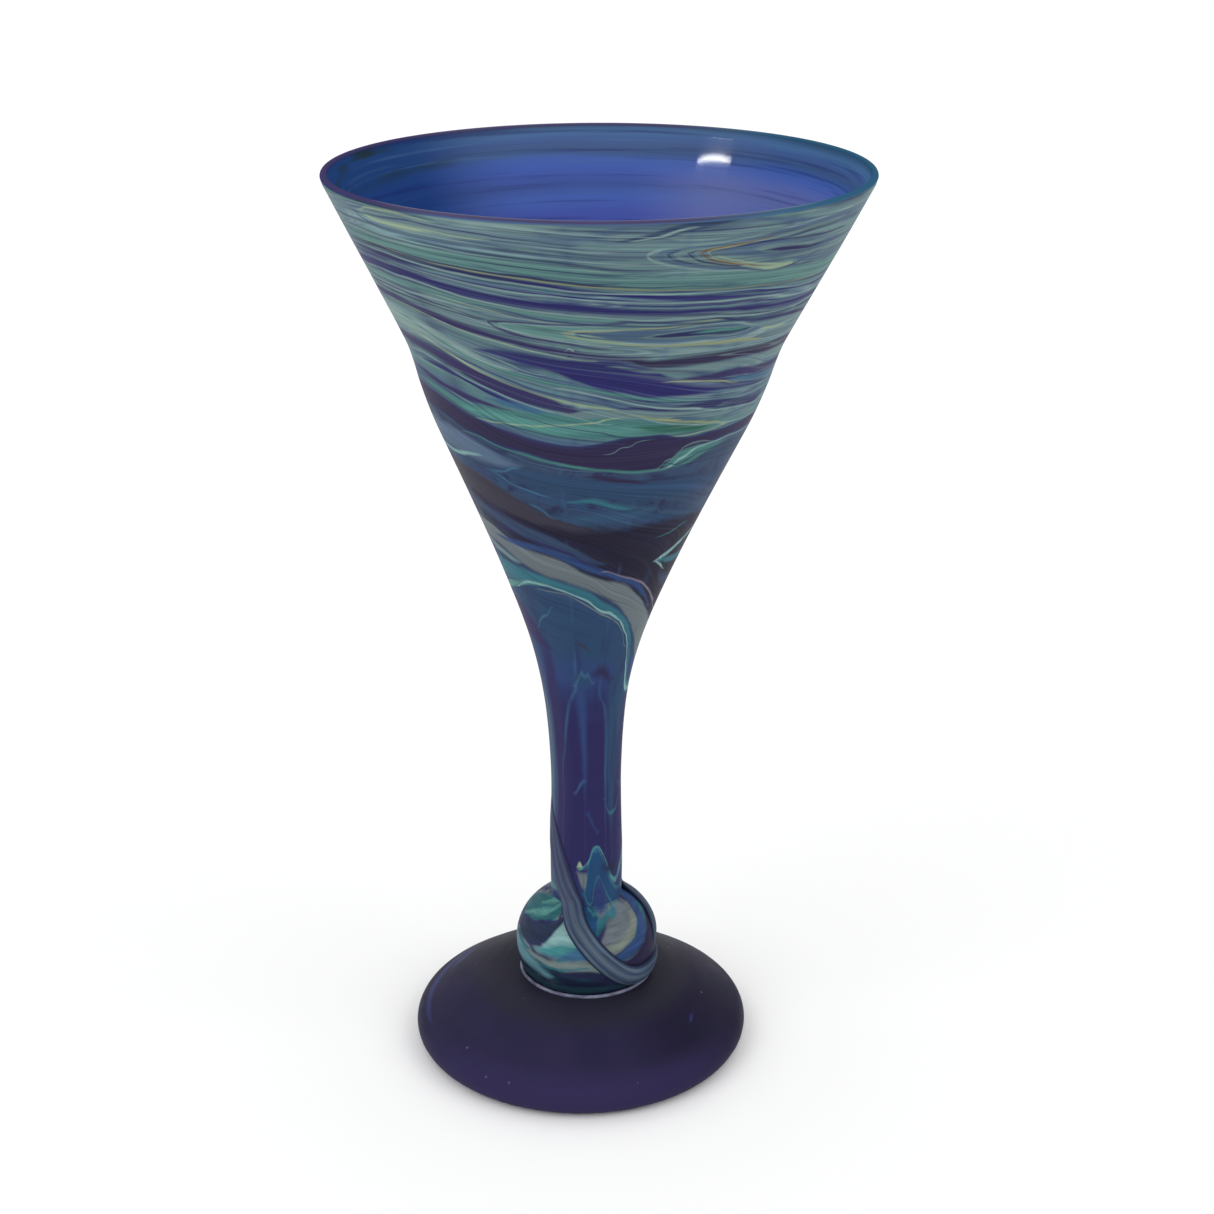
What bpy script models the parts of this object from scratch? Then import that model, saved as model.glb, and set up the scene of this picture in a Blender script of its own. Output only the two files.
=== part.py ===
"""Hand-blown martini glass in cased, marbled glass.

Seven pieces of glass are fused together in the hot shop: the cobalt lining, which makes the inside of the
bowl, the lip and the core of the stem; the marbled casing over it; the knop, a ball under the stem; two
trails laid over the knop; the foot; and the thin bead that seals the knop to the foot.
The glass stands on +Z, with its origin on the table under the middle of the rim. The bowl leans a little
towards +X, as a free-blown bowl does, so the foot and the stem stand a little to the -X side.
"""

import math

import bmesh
import bpy
from mathutils import Vector

MM = 0.001
TURN = 2 * math.pi
STEPS = 48  # sides of every turned piece
WELD = 1e-4  # points closer than this are one
SHARP_ANGLE = 50  # degrees: a sharper corner keeps its edge when shaded

# Driving dimensions, in millimetres
HEIGHT = 199.1
RIM_RADIUS = 55.45
LIP_RADIUS = 1.15  # the lip is a bead with this radius
LIP_START, LIP_END, LIP_STEPS = -20, 150, 7  # degrees from level over which the bead shows
GAP = 0.3  # clearance kept between pieces that are fused on the real glass
CASING_TOP = HEIGHT - 2.9
CASING_WALL = 0.95
STEM_WALL_SHARE = 1.25  # the casing is thicker by this much round the stem
SHOULDER_INSET = 0.1  # how far the lining stays inside the casing's outside, where it passes over its top
LINING_WALL = 1.05
NECK_HEIGHT = 92.0  # where the stem opens into the bowl
BORE_BOTTOM = 54.0  # the hollow of the bowl runs down into the stem as far as this
STEM_RADIUS = 7.95
STEM_BOTTOM = 35.7

KNOP_RADIUS = 15.9
KNOP_MIDDLE = 24.5
KNOP_HALF_HEIGHT = 13.0
KNOP_TOP = STEM_BOTTOM - GAP
KNOP_BOTTOM = 16.7
KNOP_UNDER_FULLNESS = 2.6  # a superellipse's power: the under side is fuller than an ellipse
KNOP_LEVELS = 12

FOOT_RADIUS = 37.8
FOOT_EDGE_RADIUS = 3.8  # the rounded edge
FOOT_EDGE_START = 60  # degrees from level at which the dome meets the rounded edge
FOOT_EDGE_END = -72  # degrees from level at which the edge meets the flat ring
FOOT_EDGE_STEPS = 8
DOME_POWER = 1.4  # 1 would make the top of the foot a cone
DOME_STEPS = 6
SEAT_RADIUS = 17.2
SEAT_HEIGHT = KNOP_BOTTOM - GAP
REST_INNER, REST_OUTER = 30.6, 35.2  # the flat ring that the glass stands on
HOLLOW_RADIUS, HOLLOW_HEIGHT = 8.0, 9.6  # flat top of the cone under the foot
SEAM_RADIUS = 15.1
SEAM_THICKNESS = 0.35  # radius of the bead that seals the knop to the foot
SEAM_SIDES = 6

FOOT_OFFSET = -4.5  # the foot's middle, along X
STEM_OFFSET = -3.2  # the stem's and the knop's middle, along X
LEAN_START, LEAN_END = 88.0, HEIGHT

# Outside of the glass above the knop: height and radius. The swell near 154 is the shoulder that the
# jacks leave between the lower cone and the flared upper one.
OUTER_CURVE = [
    (STEM_BOTTOM, STEM_RADIUS),
    (46.0, 8.05),
    (64.0, 7.7),
    (80.0, 8.5),
    (92.0, 10.4),
    (104.0, 14.0),
    (120.0, 20.4),
    (136.0, 27.5),
    (149.0, 33.4),
    (157.0, 36.3),
    (164.0, 38.5),
    (174.0, 43.4),
    (186.0, 49.5),
    (HEIGHT - LIP_RADIUS, RIM_RADIUS),
]
# Half the width of the hollow, where it narrows below the cone
BORE_CURVE = [(BORE_BOTTOM, 0.0), (55.5, 2.2), (60.0, 3.5), (70.0, 3.8), (80.0, 4.4), (88.0, 6.6)]

# Middle line of each trail: angle about the knop's axis in degrees, with 0 at the front (-Y) and 90 on the
# right (+X), and height. The front one ends low on the right, and the side one comes down to meet it.
FRONT_TRAIL = [
    (-82, 57), (-62, 51), (-46, 45.5), (-33, 40.5), (-22, 36.5), (-10, 33.2), (0, 30.6), (12, 27),
    (24, 23.6), (36, 21.2), (50, 20), (66, 19.8), (84, 20), (104, 20.6),
]
SIDE_TRAIL = [
    (172, 60), (152, 51.5), (136, 44.5), (122, 39), (110, 35.8), (99, 33), (89, 29.8), (81, 26.8),
    (76, 23.8),
]
TRAIL_WIDTH = 4.4
TRAIL_HEIGHT = 0.9
TRAIL_SIDES = 7
TRAIL_LIFT = 0.55  # between the flat under side and the round body, which bulges towards its middle
TRAIL_BRIDGE = 6  # how sharply a trail follows the corner between stem and knop
TRAIL_END = 5  # steps over which an end is drawn to a point
SLOPE_STEP = 0.4  # how far above and below a point its slope is measured

COLOURS = {  # base colour, roughness
    "lining": ((0.035, 0.06, 0.36), 0.08),
    "casing": ((0.10, 0.19, 0.26), 0.5),
    "knop": ((0.06, 0.15, 0.20), 0.45),
    "trail": ((0.09, 0.10, 0.20), 0.45),
    "foot": ((0.022, 0.016, 0.07), 0.5),
    "seam": ((0.42, 0.42, 0.55), 0.6),
}


def curve_through(points, samples_each=2):
    """Points along a smooth curve through the given ones, with samples_each steps between neighbours."""
    out = []
    for i in range(len(points) - 1):
        before = points[max(i - 1, 0)]
        start, end = points[i], points[i + 1]
        after = points[min(i + 2, len(points) - 1)]
        for k in range(samples_each):
            out.append(catmull_rom(before, start, end, after, k / samples_each))
    out.append(tuple(points[-1]))
    return out


def catmull_rom(before, start, end, after, t):
    """The point at t, from 0 to 1, on the smooth curve between start and end."""
    t2, t3 = t * t, t * t * t
    return tuple(
        0.5 * (2 * b + (c - a) * t + (2 * a - 5 * b + 4 * c - d) * t2 + (3 * b - a - 3 * c + d) * t3)
        for a, b, c, d in zip(before, start, end, after)
    )


OUTER_LINE = curve_through(OUTER_CURVE, 4)


def radius_on(line, height):
    """Radius at this height on a line of (height, radius) points that rises."""
    for (z0, r0), (z1, r1) in zip(line, line[1:]):
        if height <= z1:
            return r0 + (r1 - r0) * (height - z0) / (z1 - z0)
    return line[-1][1]


def lean(height):
    """How far the middle of the glass stands along X at this height, above the knop."""
    t = min(max((height - LEAN_START) / (LEAN_END - LEAN_START), 0.0), 1.0)
    eased = (t + t * t * (3 - 2 * t)) / 2  # halfway between a straight lean and an S-shaped one
    return STEM_OFFSET * (1 - eased)


def casing_inside(height):
    """Inner radius of the marbled casing, a little thicker towards the stem."""
    return radius_on(OUTER_LINE, height) - CASING_WALL * (STEM_WALL_SHARE if height < NECK_HEIGHT else 1.0)


def knop_radius(height):
    u = (height - KNOP_MIDDLE) / KNOP_HALF_HEIGHT
    power = 2.0 if u > 0 else KNOP_UNDER_FULLNESS
    return KNOP_RADIUS * (1 - abs(u) ** power) ** (1 / power)


def arc(centre, radius, start, end, steps):
    """(radius, height) points on an arc about centre, with angles in degrees from level."""
    angles = [math.radians(start + (end - start) * k / steps) for k in range(steps + 1)]
    return [(centre[0] + radius * math.cos(a), centre[1] + radius * math.sin(a)) for a in angles]


def finish_mesh(name, bm, material):
    """Turns a bmesh in millimetres into a smooth-shaded object in metres, its faces pointing out."""
    bmesh.ops.remove_doubles(bm, verts=bm.verts, dist=WELD)
    bmesh.ops.recalc_face_normals(bm, faces=bm.faces)
    bmesh.ops.scale(bm, vec=(MM, MM, MM), verts=bm.verts)
    mesh = bpy.data.meshes.new(name)
    bm.to_mesh(mesh)
    bm.free()
    mesh.shade_smooth()
    mesh.set_sharp_from_angle(angle=math.radians(SHARP_ANGLE))
    mesh.materials.append(material)
    obj = bpy.data.objects.new(name, mesh)
    bpy.context.scene.collection.objects.link(obj)
    return obj


def turned(name, outline, material, offset):
    """A solid turned from a closed outline of (radius, height) points. offset gives its middle's X."""
    bm = bmesh.new()
    verts = [bm.verts.new((r, 0, z)) for r, z in outline]
    edges = [bm.edges.new((a, b)) for a, b in zip(verts, verts[1:])]
    if outline[0][0] > 0:  # a ring: its outline closes on itself
        edges.append(bm.edges.new((verts[-1], verts[0])))
    bmesh.ops.spin(
        bm, geom=verts + edges, cent=(0, 0, 0), axis=(0, 0, 1), angle=TURN, steps=STEPS, use_merge=True
    )
    bmesh.ops.remove_doubles(bm, verts=bm.verts, dist=WELD)
    for vert in bm.verts:
        vert.co.x += offset(vert.co.z)
    return finish_mesh(name, bm, material)


def bowl_lining(material):
    """The bowl's inside, its lip and the core of the stem, in one gather of cobalt glass."""
    heights = [z for z, _ in OUTER_CURVE[:-1]]
    outside = [(casing_inside(z) - GAP, z) for z in heights]
    lip_middle = (RIM_RADIUS - LIP_RADIUS, HEIGHT - LIP_RADIUS)
    shoulder = CASING_TOP + GAP
    lip = arc(lip_middle, LIP_RADIUS, LIP_START, LIP_END, LIP_STEPS)
    inside = [(casing_inside(z) - GAP - LINING_WALL, z) for z in reversed(heights) if z >= NECK_HEIGHT]
    bore = [(r, z) for z, r in reversed(BORE_CURVE)]
    outline = [
        (0.0, STEM_BOTTOM),
        *outside,
        (casing_inside(shoulder) - GAP, shoulder),
        (radius_on(OUTER_LINE, shoulder) - SHOULDER_INSET, shoulder),
        *lip,
        *inside,
        *bore,
    ]
    return turned("bowl_lining", outline, material, lean)


def swirl_casing(material):
    """The marbled glass that covers the bowl and the stem, up to just under the lip."""
    outside = [(r, z) for z, r in curve_through(OUTER_CURVE[:-1])]
    outside.append((radius_on(OUTER_LINE, CASING_TOP), CASING_TOP))
    heights = [z for z, _ in OUTER_CURVE[:-1]] + [CASING_TOP]
    inside = [(casing_inside(z), z) for z in reversed(heights)]
    return turned("swirl_casing", outside + inside, material, lean)


def stem_knop(material):
    """The ball under the stem, flat where it meets the stem and the foot."""
    rise = (KNOP_TOP - KNOP_BOTTOM) / KNOP_LEVELS
    heights = [KNOP_BOTTOM + rise * k for k in range(KNOP_LEVELS + 1)]
    outline = [(0.0, KNOP_BOTTOM), *((knop_radius(z), z) for z in heights), (0.0, KNOP_TOP)]
    return turned("stem_knop", outline, material, lambda _: STEM_OFFSET)


def foot(material):
    """A domed foot with a thick rounded edge, a flat ring to stand on and a shallow cone hollowed below."""
    edge_middle = (FOOT_RADIUS - FOOT_EDGE_RADIUS, FOOT_EDGE_RADIUS)
    edge = arc(edge_middle, FOOT_EDGE_RADIUS, FOOT_EDGE_START, FOOT_EDGE_END, FOOT_EDGE_STEPS)
    edge_radius, edge_height = edge[0]
    dome = []
    for k in range(1, DOME_STEPS):
        share = k / DOME_STEPS
        radius = SEAT_RADIUS + (edge_radius - SEAT_RADIUS) * share
        dome.append((radius, SEAT_HEIGHT - (SEAT_HEIGHT - edge_height) * share**DOME_POWER))
    outline = [
        (0.0, SEAT_HEIGHT),
        (SEAT_RADIUS, SEAT_HEIGHT),
        *dome,
        *edge,
        (REST_OUTER, 0.0),
        (REST_INNER, 0.0),
        (HOLLOW_RADIUS, HOLLOW_HEIGHT),
        (0.0, HOLLOW_HEIGHT),
    ]
    return turned("foot", outline, material, lambda _: FOOT_OFFSET)


def foot_seam(material):
    """The thin bead of glass that seals the knop to the foot."""
    ring = arc((SEAM_RADIUS, SEAT_HEIGHT + GAP + SEAM_THICKNESS), SEAM_THICKNESS, 0, 360, SEAM_SIDES)[:-1]
    return turned("foot_seam", ring, material, lambda _: STEM_OFFSET)


def body_radius(height):
    """Radius of what a trail lies on: the stem and the knop, with the corner between them rounded."""
    stem = radius_on(OUTER_LINE, max(height, STEM_BOTTOM))
    knop = knop_radius(height) if height < KNOP_MIDDLE + KNOP_HALF_HEIGHT else 0.0
    return (stem**TRAIL_BRIDGE + knop**TRAIL_BRIDGE) ** (1 / TRAIL_BRIDGE)


def trail(name, route, material):
    """A strand laid over the stem and the knop: round on top, flat below, drawn to a point at both ends."""
    line = curve_through(route)
    spots, normals = [], []
    for angle, height in line:
        a = math.radians(angle)
        level = Vector((math.sin(a), -math.cos(a), 0))
        rise = body_radius(height + SLOPE_STEP) - body_radius(height - SLOPE_STEP)
        slope = rise / (2 * SLOPE_STEP)
        spots.append(Vector((STEM_OFFSET, 0, height)) + level * body_radius(height))
        normals.append((level - Vector((0, 0, slope))).normalized())
    bm = bmesh.new()
    rings = []
    last = len(line) - 1
    for i, (spot, normal) in enumerate(zip(spots, normals)):
        along = spots[min(i + 1, last)] - spots[max(i - 1, 0)]
        across = normal.cross(along).normalized()
        fullness = math.sin(min(1.0, (min(i, last - i) + 0.5) / TRAIL_END) * math.pi / 2)
        ring = []
        for k in range(TRAIL_SIDES):
            a = math.pi * k / (TRAIL_SIDES - 1)
            side = across * (TRAIL_WIDTH / 2 * fullness * math.cos(a))
            lift = TRAIL_LIFT + TRAIL_HEIGHT * fullness * math.sin(a)
            ring.append(bm.verts.new(spot + side + normal * lift))
        rings.append(ring)
    for ring, following in zip(rings, rings[1:]):
        for k in range(TRAIL_SIDES):
            n = (k + 1) % TRAIL_SIDES
            bm.faces.new((ring[k], ring[n], following[n], following[k]))
    bm.faces.new(rings[0])
    bm.faces.new(list(reversed(rings[-1])))
    return finish_mesh(name, bm, material)


def make_material(name):
    colour, roughness = COLOURS[name]
    material = bpy.data.materials.new(name)
    material.use_nodes = True
    shader = material.node_tree.nodes["Principled BSDF"]
    shader.inputs["Base Color"].default_value = (*colour, 1.0)
    shader.inputs["Roughness"].default_value = roughness
    shader.inputs["Metallic"].default_value = 0.0
    return material


def main():
    for obj in list(bpy.data.objects):
        bpy.data.objects.remove(obj)
    materials = {name: make_material(name) for name in COLOURS}
    bowl_lining(materials["lining"])
    swirl_casing(materials["casing"])
    stem_knop(materials["knop"])
    trail("knop_trail_front", FRONT_TRAIL, materials["trail"])
    trail("knop_trail_side", SIDE_TRAIL, materials["trail"])
    foot(materials["foot"])
    foot_seam(materials["seam"])


main()
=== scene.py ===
"""Looks of the hand-blown martini glass: smooth fused glass, a marbled satin outside, a glossy inside."""

import math

import bmesh
import bpy
from mathutils import Matrix, Vector


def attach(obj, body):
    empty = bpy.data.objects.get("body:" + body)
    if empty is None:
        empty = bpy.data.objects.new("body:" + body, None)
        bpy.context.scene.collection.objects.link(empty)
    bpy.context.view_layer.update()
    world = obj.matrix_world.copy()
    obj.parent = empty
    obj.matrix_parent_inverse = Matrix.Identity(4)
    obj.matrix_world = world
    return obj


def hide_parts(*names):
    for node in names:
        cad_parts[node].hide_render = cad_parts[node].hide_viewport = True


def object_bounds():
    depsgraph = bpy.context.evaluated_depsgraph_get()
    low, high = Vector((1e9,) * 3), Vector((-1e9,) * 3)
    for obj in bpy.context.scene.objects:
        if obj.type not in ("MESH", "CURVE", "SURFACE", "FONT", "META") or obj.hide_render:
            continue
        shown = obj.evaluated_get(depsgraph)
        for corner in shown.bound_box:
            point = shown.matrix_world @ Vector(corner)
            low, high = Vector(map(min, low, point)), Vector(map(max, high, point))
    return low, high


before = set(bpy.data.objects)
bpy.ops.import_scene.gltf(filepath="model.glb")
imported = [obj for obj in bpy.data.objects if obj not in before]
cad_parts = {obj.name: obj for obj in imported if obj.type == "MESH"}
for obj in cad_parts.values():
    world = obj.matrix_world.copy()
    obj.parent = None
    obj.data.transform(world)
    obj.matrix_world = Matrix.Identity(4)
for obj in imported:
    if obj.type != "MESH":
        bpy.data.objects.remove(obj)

cad_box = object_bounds()

MM = 0.001
TURN = 2 * math.pi
SIDES = 192  # columns of every turned surface
HEIGHT = cad_box[1][2] / MM


# ---------------------------------------------------------------- shapes read from the frame
def rows_of(node):
    """The node's rings as (height, middle's x, inner radius, outer radius) in mm, lowest first."""
    heights = {}
    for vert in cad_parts[node].data.vertices:
        heights.setdefault(round(vert.co.z / MM, 2), []).append(vert.co / MM)
    rows = []
    for height, points in sorted(heights.items()):
        middle = (min(p.x for p in points) + max(p.x for p in points)) / 2
        radii = [math.hypot(p.x - middle, p.y) for p in points]
        rows.append((height, middle, min(radii), max(radii)))
    return rows


def smooth_line(points):
    """A function through (x, y) points, rising in x, with no overshoot between them."""
    xs = [p[0] for p in points]
    ys = [p[1] for p in points]
    steps = [(ys[i + 1] - ys[i]) / (xs[i + 1] - xs[i]) for i in range(len(xs) - 1)]
    slopes = [steps[0]]
    for a, b in zip(steps, steps[1:]):
        slopes.append(0.0 if a * b <= 0 else 2 * a * b / (a + b))
    slopes.append(steps[-1])

    def at(x):
        if x <= xs[0]:
            return ys[0]
        if x >= xs[-1]:
            return ys[-1]
        i = max(k for k in range(len(xs) - 1) if xs[k] <= x)
        h = xs[i + 1] - xs[i]
        t = (x - xs[i]) / h
        return (
            ys[i] * (1 + 2 * t) * (1 - t) ** 2
            + slopes[i] * h * t * (1 - t) ** 2
            + ys[i + 1] * t * t * (3 - 2 * t)
            + slopes[i + 1] * h * t * t * (t - 1)
        )

    return at


LIP_RADIUS = 1.15  # the CAD's lip
CASING_ROWS = rows_of("swirl_casing")
outer_line = smooth_line([(height, far) for height, _, _, far in CASING_ROWS])
axis_line = smooth_line([(height, x) for height, x, _, _ in CASING_ROWS])
STEM_FOOT, CASING_TOP = CASING_ROWS[0][0], CASING_ROWS[-1][0]
RIM_RADIUS = max(far for _, _, _, far in rows_of("bowl_lining"))
KNOP_ROWS = rows_of("stem_knop")
KNOP_CAP = (KNOP_ROWS[-1][0] + 0.9, 7.2)  # the ball's top closes inside the stem
knop_line = smooth_line([(height, far) for height, _, _, far in KNOP_ROWS] + [KNOP_CAP])
KNOP_X = KNOP_ROWS[0][1]
KNOP_BOTTOM, KNOP_TOP = KNOP_ROWS[0][0], KNOP_ROWS[-1][0]


def outside_radius(height):
    """The outer wall, carried on straight from the casing's top to the lip."""
    if height <= CASING_TOP:
        return outer_line(height)
    share = (height - CASING_TOP) / (HEIGHT - LIP_RADIUS - CASING_TOP)
    return outer_line(CASING_TOP) + (RIM_RADIUS - outer_line(CASING_TOP)) * min(share, 1.0)


# ---------------------------------------------------------------- mesh builders
def spaced(start, end, count):
    return [start + (end - start) * k / count for k in range(count + 1)]


def arc(centre, radius, start, end, count):
    """(radius, height) points on an arc about centre, with angles in degrees from level."""
    return [
        (centre[0] + radius * math.cos(math.radians(a)), centre[1] + radius * math.sin(math.radians(a)))
        for a in spaced(start, end, count)
    ]


def ripple(angle, height, amount):
    """The slight unevenness of a free-blown wall, in mm."""
    return amount * (
        math.sin(3 * angle + height / 17) * 0.5
        + math.sin(2 * angle - height / 29 + 1.3) * 0.35
        + math.sin(5 * angle + height / 11 + 0.4) * 0.15
    )


def finished(name, bm, node):
    """Makes the smooth object, which stands for its CAD node, and hides that node."""
    bmesh.ops.recalc_face_normals(bm, faces=bm.faces)
    mesh = bpy.data.meshes.new(name)
    bm.to_mesh(mesh)
    bm.free()
    mesh.shade_smooth()
    piece = bpy.data.objects.new(name, mesh)
    bpy.context.scene.collection.objects.link(piece)
    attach(piece, "root")
    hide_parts(node)
    return piece


def turned(name, outline, middle, node, uneven=0.0):
    """A turned surface from (radius, height) points in mm. middle gives its axis's x at each height.

    A radius of 0 at either end closes it there, and any other outline is a ring that closes on itself.
    Its map "wrap" holds the angle about the axis, with the front in the middle, and the height.
    """
    bm = bmesh.new()
    wrap = bm.loops.layers.uv.new("wrap")
    rows = []
    for radius, height in outline:
        if radius == 0:
            rows.append([bm.verts.new((middle(height) * MM, 0, height * MM))])
            continue
        row = []
        for k in range(SIDES):
            angle = TURN * k / SIDES - math.pi
            r = radius + ripple(angle, height, uneven)
            x = middle(height) + r * math.sin(angle)
            row.append(bm.verts.new((x * MM, -r * math.cos(angle) * MM, height * MM)))
        rows.append(row)
    pairs = list(zip(range(len(rows) - 1), range(1, len(rows))))
    if outline[0][0] > 0:
        pairs.append((len(rows) - 1, 0))
    for first, second in pairs:
        for k in range(SIDES):
            corners = {}
            for row, across in ((first, k), (first, k + 1), (second, k + 1), (second, k)):
                vert = rows[row][across % len(rows[row])]
                corners.setdefault(vert, (across / SIDES, outline[row][1] / HEIGHT))
            face = bm.faces.new(list(corners))
            for loop in face.loops:
                loop[wrap].uv = corners[loop.vert]
    return finished(name, bm, node)


# ---------------------------------------------------------------- the pieces
LIP_BEAD = 0.72  # radius of the lip's visible bead, in mm: slimmer than the CAD's
CASING_VISIBLE_TOP = HEIGHT - LIP_BEAD - 0.05
CASING_WALL, CORE_INSET = 0.9, 0.8  # the casing's thickness, and how far the core stays inside the outside
KNOP_SINK = 0.8  # how far the casing runs down into the knop's top
CASING_STEPS, HOLLOW_STEPS, LIP_STEPS, CORE_STEPS = 160, 120, 20, 60


def make_casing():
    heights = spaced(STEM_FOOT - KNOP_SINK, CASING_VISIBLE_TOP, CASING_STEPS)
    outside = [(outside_radius(h), h) for h in heights]
    inside = [(outside_radius(h) - CASING_WALL, h) for h in reversed(heights)]
    return turned("marbled_casing", outside + inside, axis_line, "swirl_casing", 0.12)


HOLLOW_BOTTOM = 55.0
STEM_BORE = (54.5, 80.0, 5.0)  # lowest and highest point of the hollow in the stem, and its widest radius
FLARE_START, FLARE_SLOPE, FLARE_STEPS = 180.0, 0.52, 8  # where the hollow starts to open wider, and its slope
LIP_INSIDE, LIP_OUTSIDE = 165, -6  # degrees from level over which the bead at the lip is round


def flare(start, end):
    """(height, radius) points along which the hollow opens ever faster, from start to the lip at end."""
    rise = end[0] - start[0]
    bend = (end[1] - start[1] - FLARE_SLOPE * rise) / rise**2
    return [(start[0] + d, start[1] + FLARE_SLOPE * d + bend * d * d) for d in spaced(0, rise, FLARE_STEPS)]


def make_lining():
    rows = rows_of("bowl_lining")
    lowest, bore_top, bore_radius = STEM_BORE
    core = [(h, near) for h, _, near, _ in rows if lowest < h < bore_top and near < bore_radius]
    core += [(h, near) for h, _, near, _ in rows if bore_top <= h < FLARE_START]
    mouth = (HEIGHT - LIP_BEAD, RIM_RADIUS - 2 * LIP_BEAD + 0.2)
    hollow = smooth_line(core[:-1] + flare(core[-1], mouth))
    lip = (RIM_RADIUS - LIP_BEAD, HEIGHT - LIP_BEAD)
    outline = [
        (0.0, HOLLOW_BOTTOM),
        *((hollow(h), h) for h in spaced(HOLLOW_BOTTOM + 0.5, HEIGHT - LIP_BEAD - 0.3, HOLLOW_STEPS)),
        *arc(lip, LIP_BEAD, LIP_INSIDE, LIP_OUTSIDE, LIP_STEPS),
        *((outside_radius(h) - CORE_INSET, h) for h in spaced(CASING_VISIBLE_TOP, STEM_FOOT, CORE_STEPS)),
        (0.0, STEM_FOOT),
    ]
    return turned("cobalt_lining", outline, axis_line, "bowl_lining", 0.06)


KNOP_SEAT = 0.35  # how far the knop sinks into the foot
KNOP_STEPS = 48


def make_knop():
    heights = spaced(KNOP_BOTTOM - KNOP_SEAT, KNOP_CAP[0], KNOP_STEPS)
    outline = [(0.0, heights[0]), *((knop_line(h), h) for h in heights), (0.0, KNOP_CAP[0])]
    return turned("ball_knop", outline, lambda _: KNOP_X, "stem_knop", 0.1)


HOLLOW_INNER = 10  # the hollow under the foot is level inside this radius
EDGE_TOP, DOME_START = 7.2, 7.0  # heights at which the foot's rounded edge ends and its dome starts
EDGE_RADIUS, EDGE_INSET = 3.8, 1.9
EDGE_START, EDGE_END = 60, -76  # degrees from level over which the edge is round
DOME_STEPS, EDGE_STEPS, UNDER_STEPS = 40, 30, 20


def make_foot():
    rows = rows_of("foot")
    _, middle, rest_inner, rest_outer = rows[0]
    hollow_height, hollow_radius = next((h, near) for h, _, near, _ in rows if near < HOLLOW_INNER)
    solid = [(h, far) for h, _, near, far in rows if near > HOLLOW_INNER]
    edge_reach = [far for h, far in solid if 0 < h <= EDGE_TOP][-1]
    dome = smooth_line(sorted((far, h) for h, far in solid if h > DOME_START))
    seat_height, seat = solid[-1]
    outline = [
        (0.0, seat_height + 0.1),
        (seat - 4, seat_height + 0.08),
        *((r, dome(r)) for r in spaced(seat, edge_reach - 0.3, DOME_STEPS)),
        *arc((edge_reach - EDGE_INSET, EDGE_RADIUS), EDGE_RADIUS, EDGE_START, EDGE_END, EDGE_STEPS),
        (rest_outer, 0.0),
        (rest_inner, 0.0),
        *((r, hollow_height * (rest_inner - r) / (rest_inner - hollow_radius))
          for r in spaced(30, 9, UNDER_STEPS)),
        (0.0, hollow_height),
    ]
    return turned("domed_foot", outline, lambda _: middle, "foot", 0.1)


SEAM_BEAD, SEAM_SIDES = 0.4, 12  # the bead's radius in mm, and the sides round it


def make_seam():
    """The thin bead between knop and foot, where two hot pieces were pressed together."""
    rows = rows_of("foot_seam")
    radius = (rows[1][2] + rows[1][3]) / 2 - 0.27
    ring = arc((radius, rows[0][0] + 0.05), SEAM_BEAD, 0, 360, SEAM_SIDES)[:-1]
    return turned("seam_bead", ring, lambda _: KNOP_X, "foot_seam", 0.08)


# Middle line of each strand: angle about the knop's axis in degrees, with 0 at the front, and height
FRONT_TRAIL = [
    (-96, 62), (-82, 57), (-62, 51), (-46, 45.5), (-33, 40.5), (-22, 36.5), (-10, 33.2), (0, 30.6),
    (12, 27), (24, 23.6), (36, 21.2), (50, 20), (66, 19.8), (84, 20), (104, 20.6),
]
SIDE_TRAIL = [
    (172, 60), (152, 51.5), (136, 44.5), (122, 39), (110, 35.8), (99, 33), (89, 29.8), (81, 26.8),
    (76, 23.8),
]
FRONT_HEIGHT, SIDE_HEIGHT = 1.3, 0.6  # how far each ridge stands off the glass
TRAIL_WIDTH = 5.0
TRAIL_SIDES, TRAIL_STEPS = 20, 10  # sides round a strand, and steps between two points of its route
TRAIL_TAPER = 24  # steps over which an end is drawn to a point
TRAIL_ROOT = 0.5  # how far its feet sink into the glass
TRAIL_EASE = 14  # times that its line is relaxed
TRAIL_BRIDGE = 5  # how sharply a strand follows the corner between stem and knop
CORNER_RISE = 3  # mm over which the knop gives way to the stem
SLOPE_STEP = 1.2  # mm above and below a point over which its slope is measured
THIN_TOP, THIN_RANGE, THIN_LEAST = 58, 16, 0.3  # a strand gets thinner towards this height on the stem


def body_radius(height):
    """The stem and the knop together, with the corner between them rounded."""
    stem = outer_line(max(height, STEM_FOOT))
    knop = knop_line(height) * min(max((KNOP_TOP + CORNER_RISE - height) / CORNER_RISE, 0), 1)
    return (stem**TRAIL_BRIDGE + knop**TRAIL_BRIDGE) ** (1 / TRAIL_BRIDGE)


def catmull_rom(t, before, start, end, after):
    """The value at t, from 0 to 1, on the smooth curve between start and end."""
    square = 2 * before - 5 * start + 4 * end - after
    cube = 3 * start - before - 3 * end + after
    return 0.5 * (2 * start + (end - before) * t + square * t**2 + cube * t**3)


def curve_through(points, steps):
    """Points along a smooth curve through the given ones."""
    out = []
    for i in range(len(points) - 1):
        a, b, c, d = points[max(i - 1, 0)], points[i], points[i + 1], points[min(i + 2, len(points) - 1)]
        for k in range(steps):
            t = k / steps
            out.append(tuple(catmull_rom(t, *values) for values in zip(a, b, c, d)))
    out.append(tuple(points[-1]))
    return out


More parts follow.
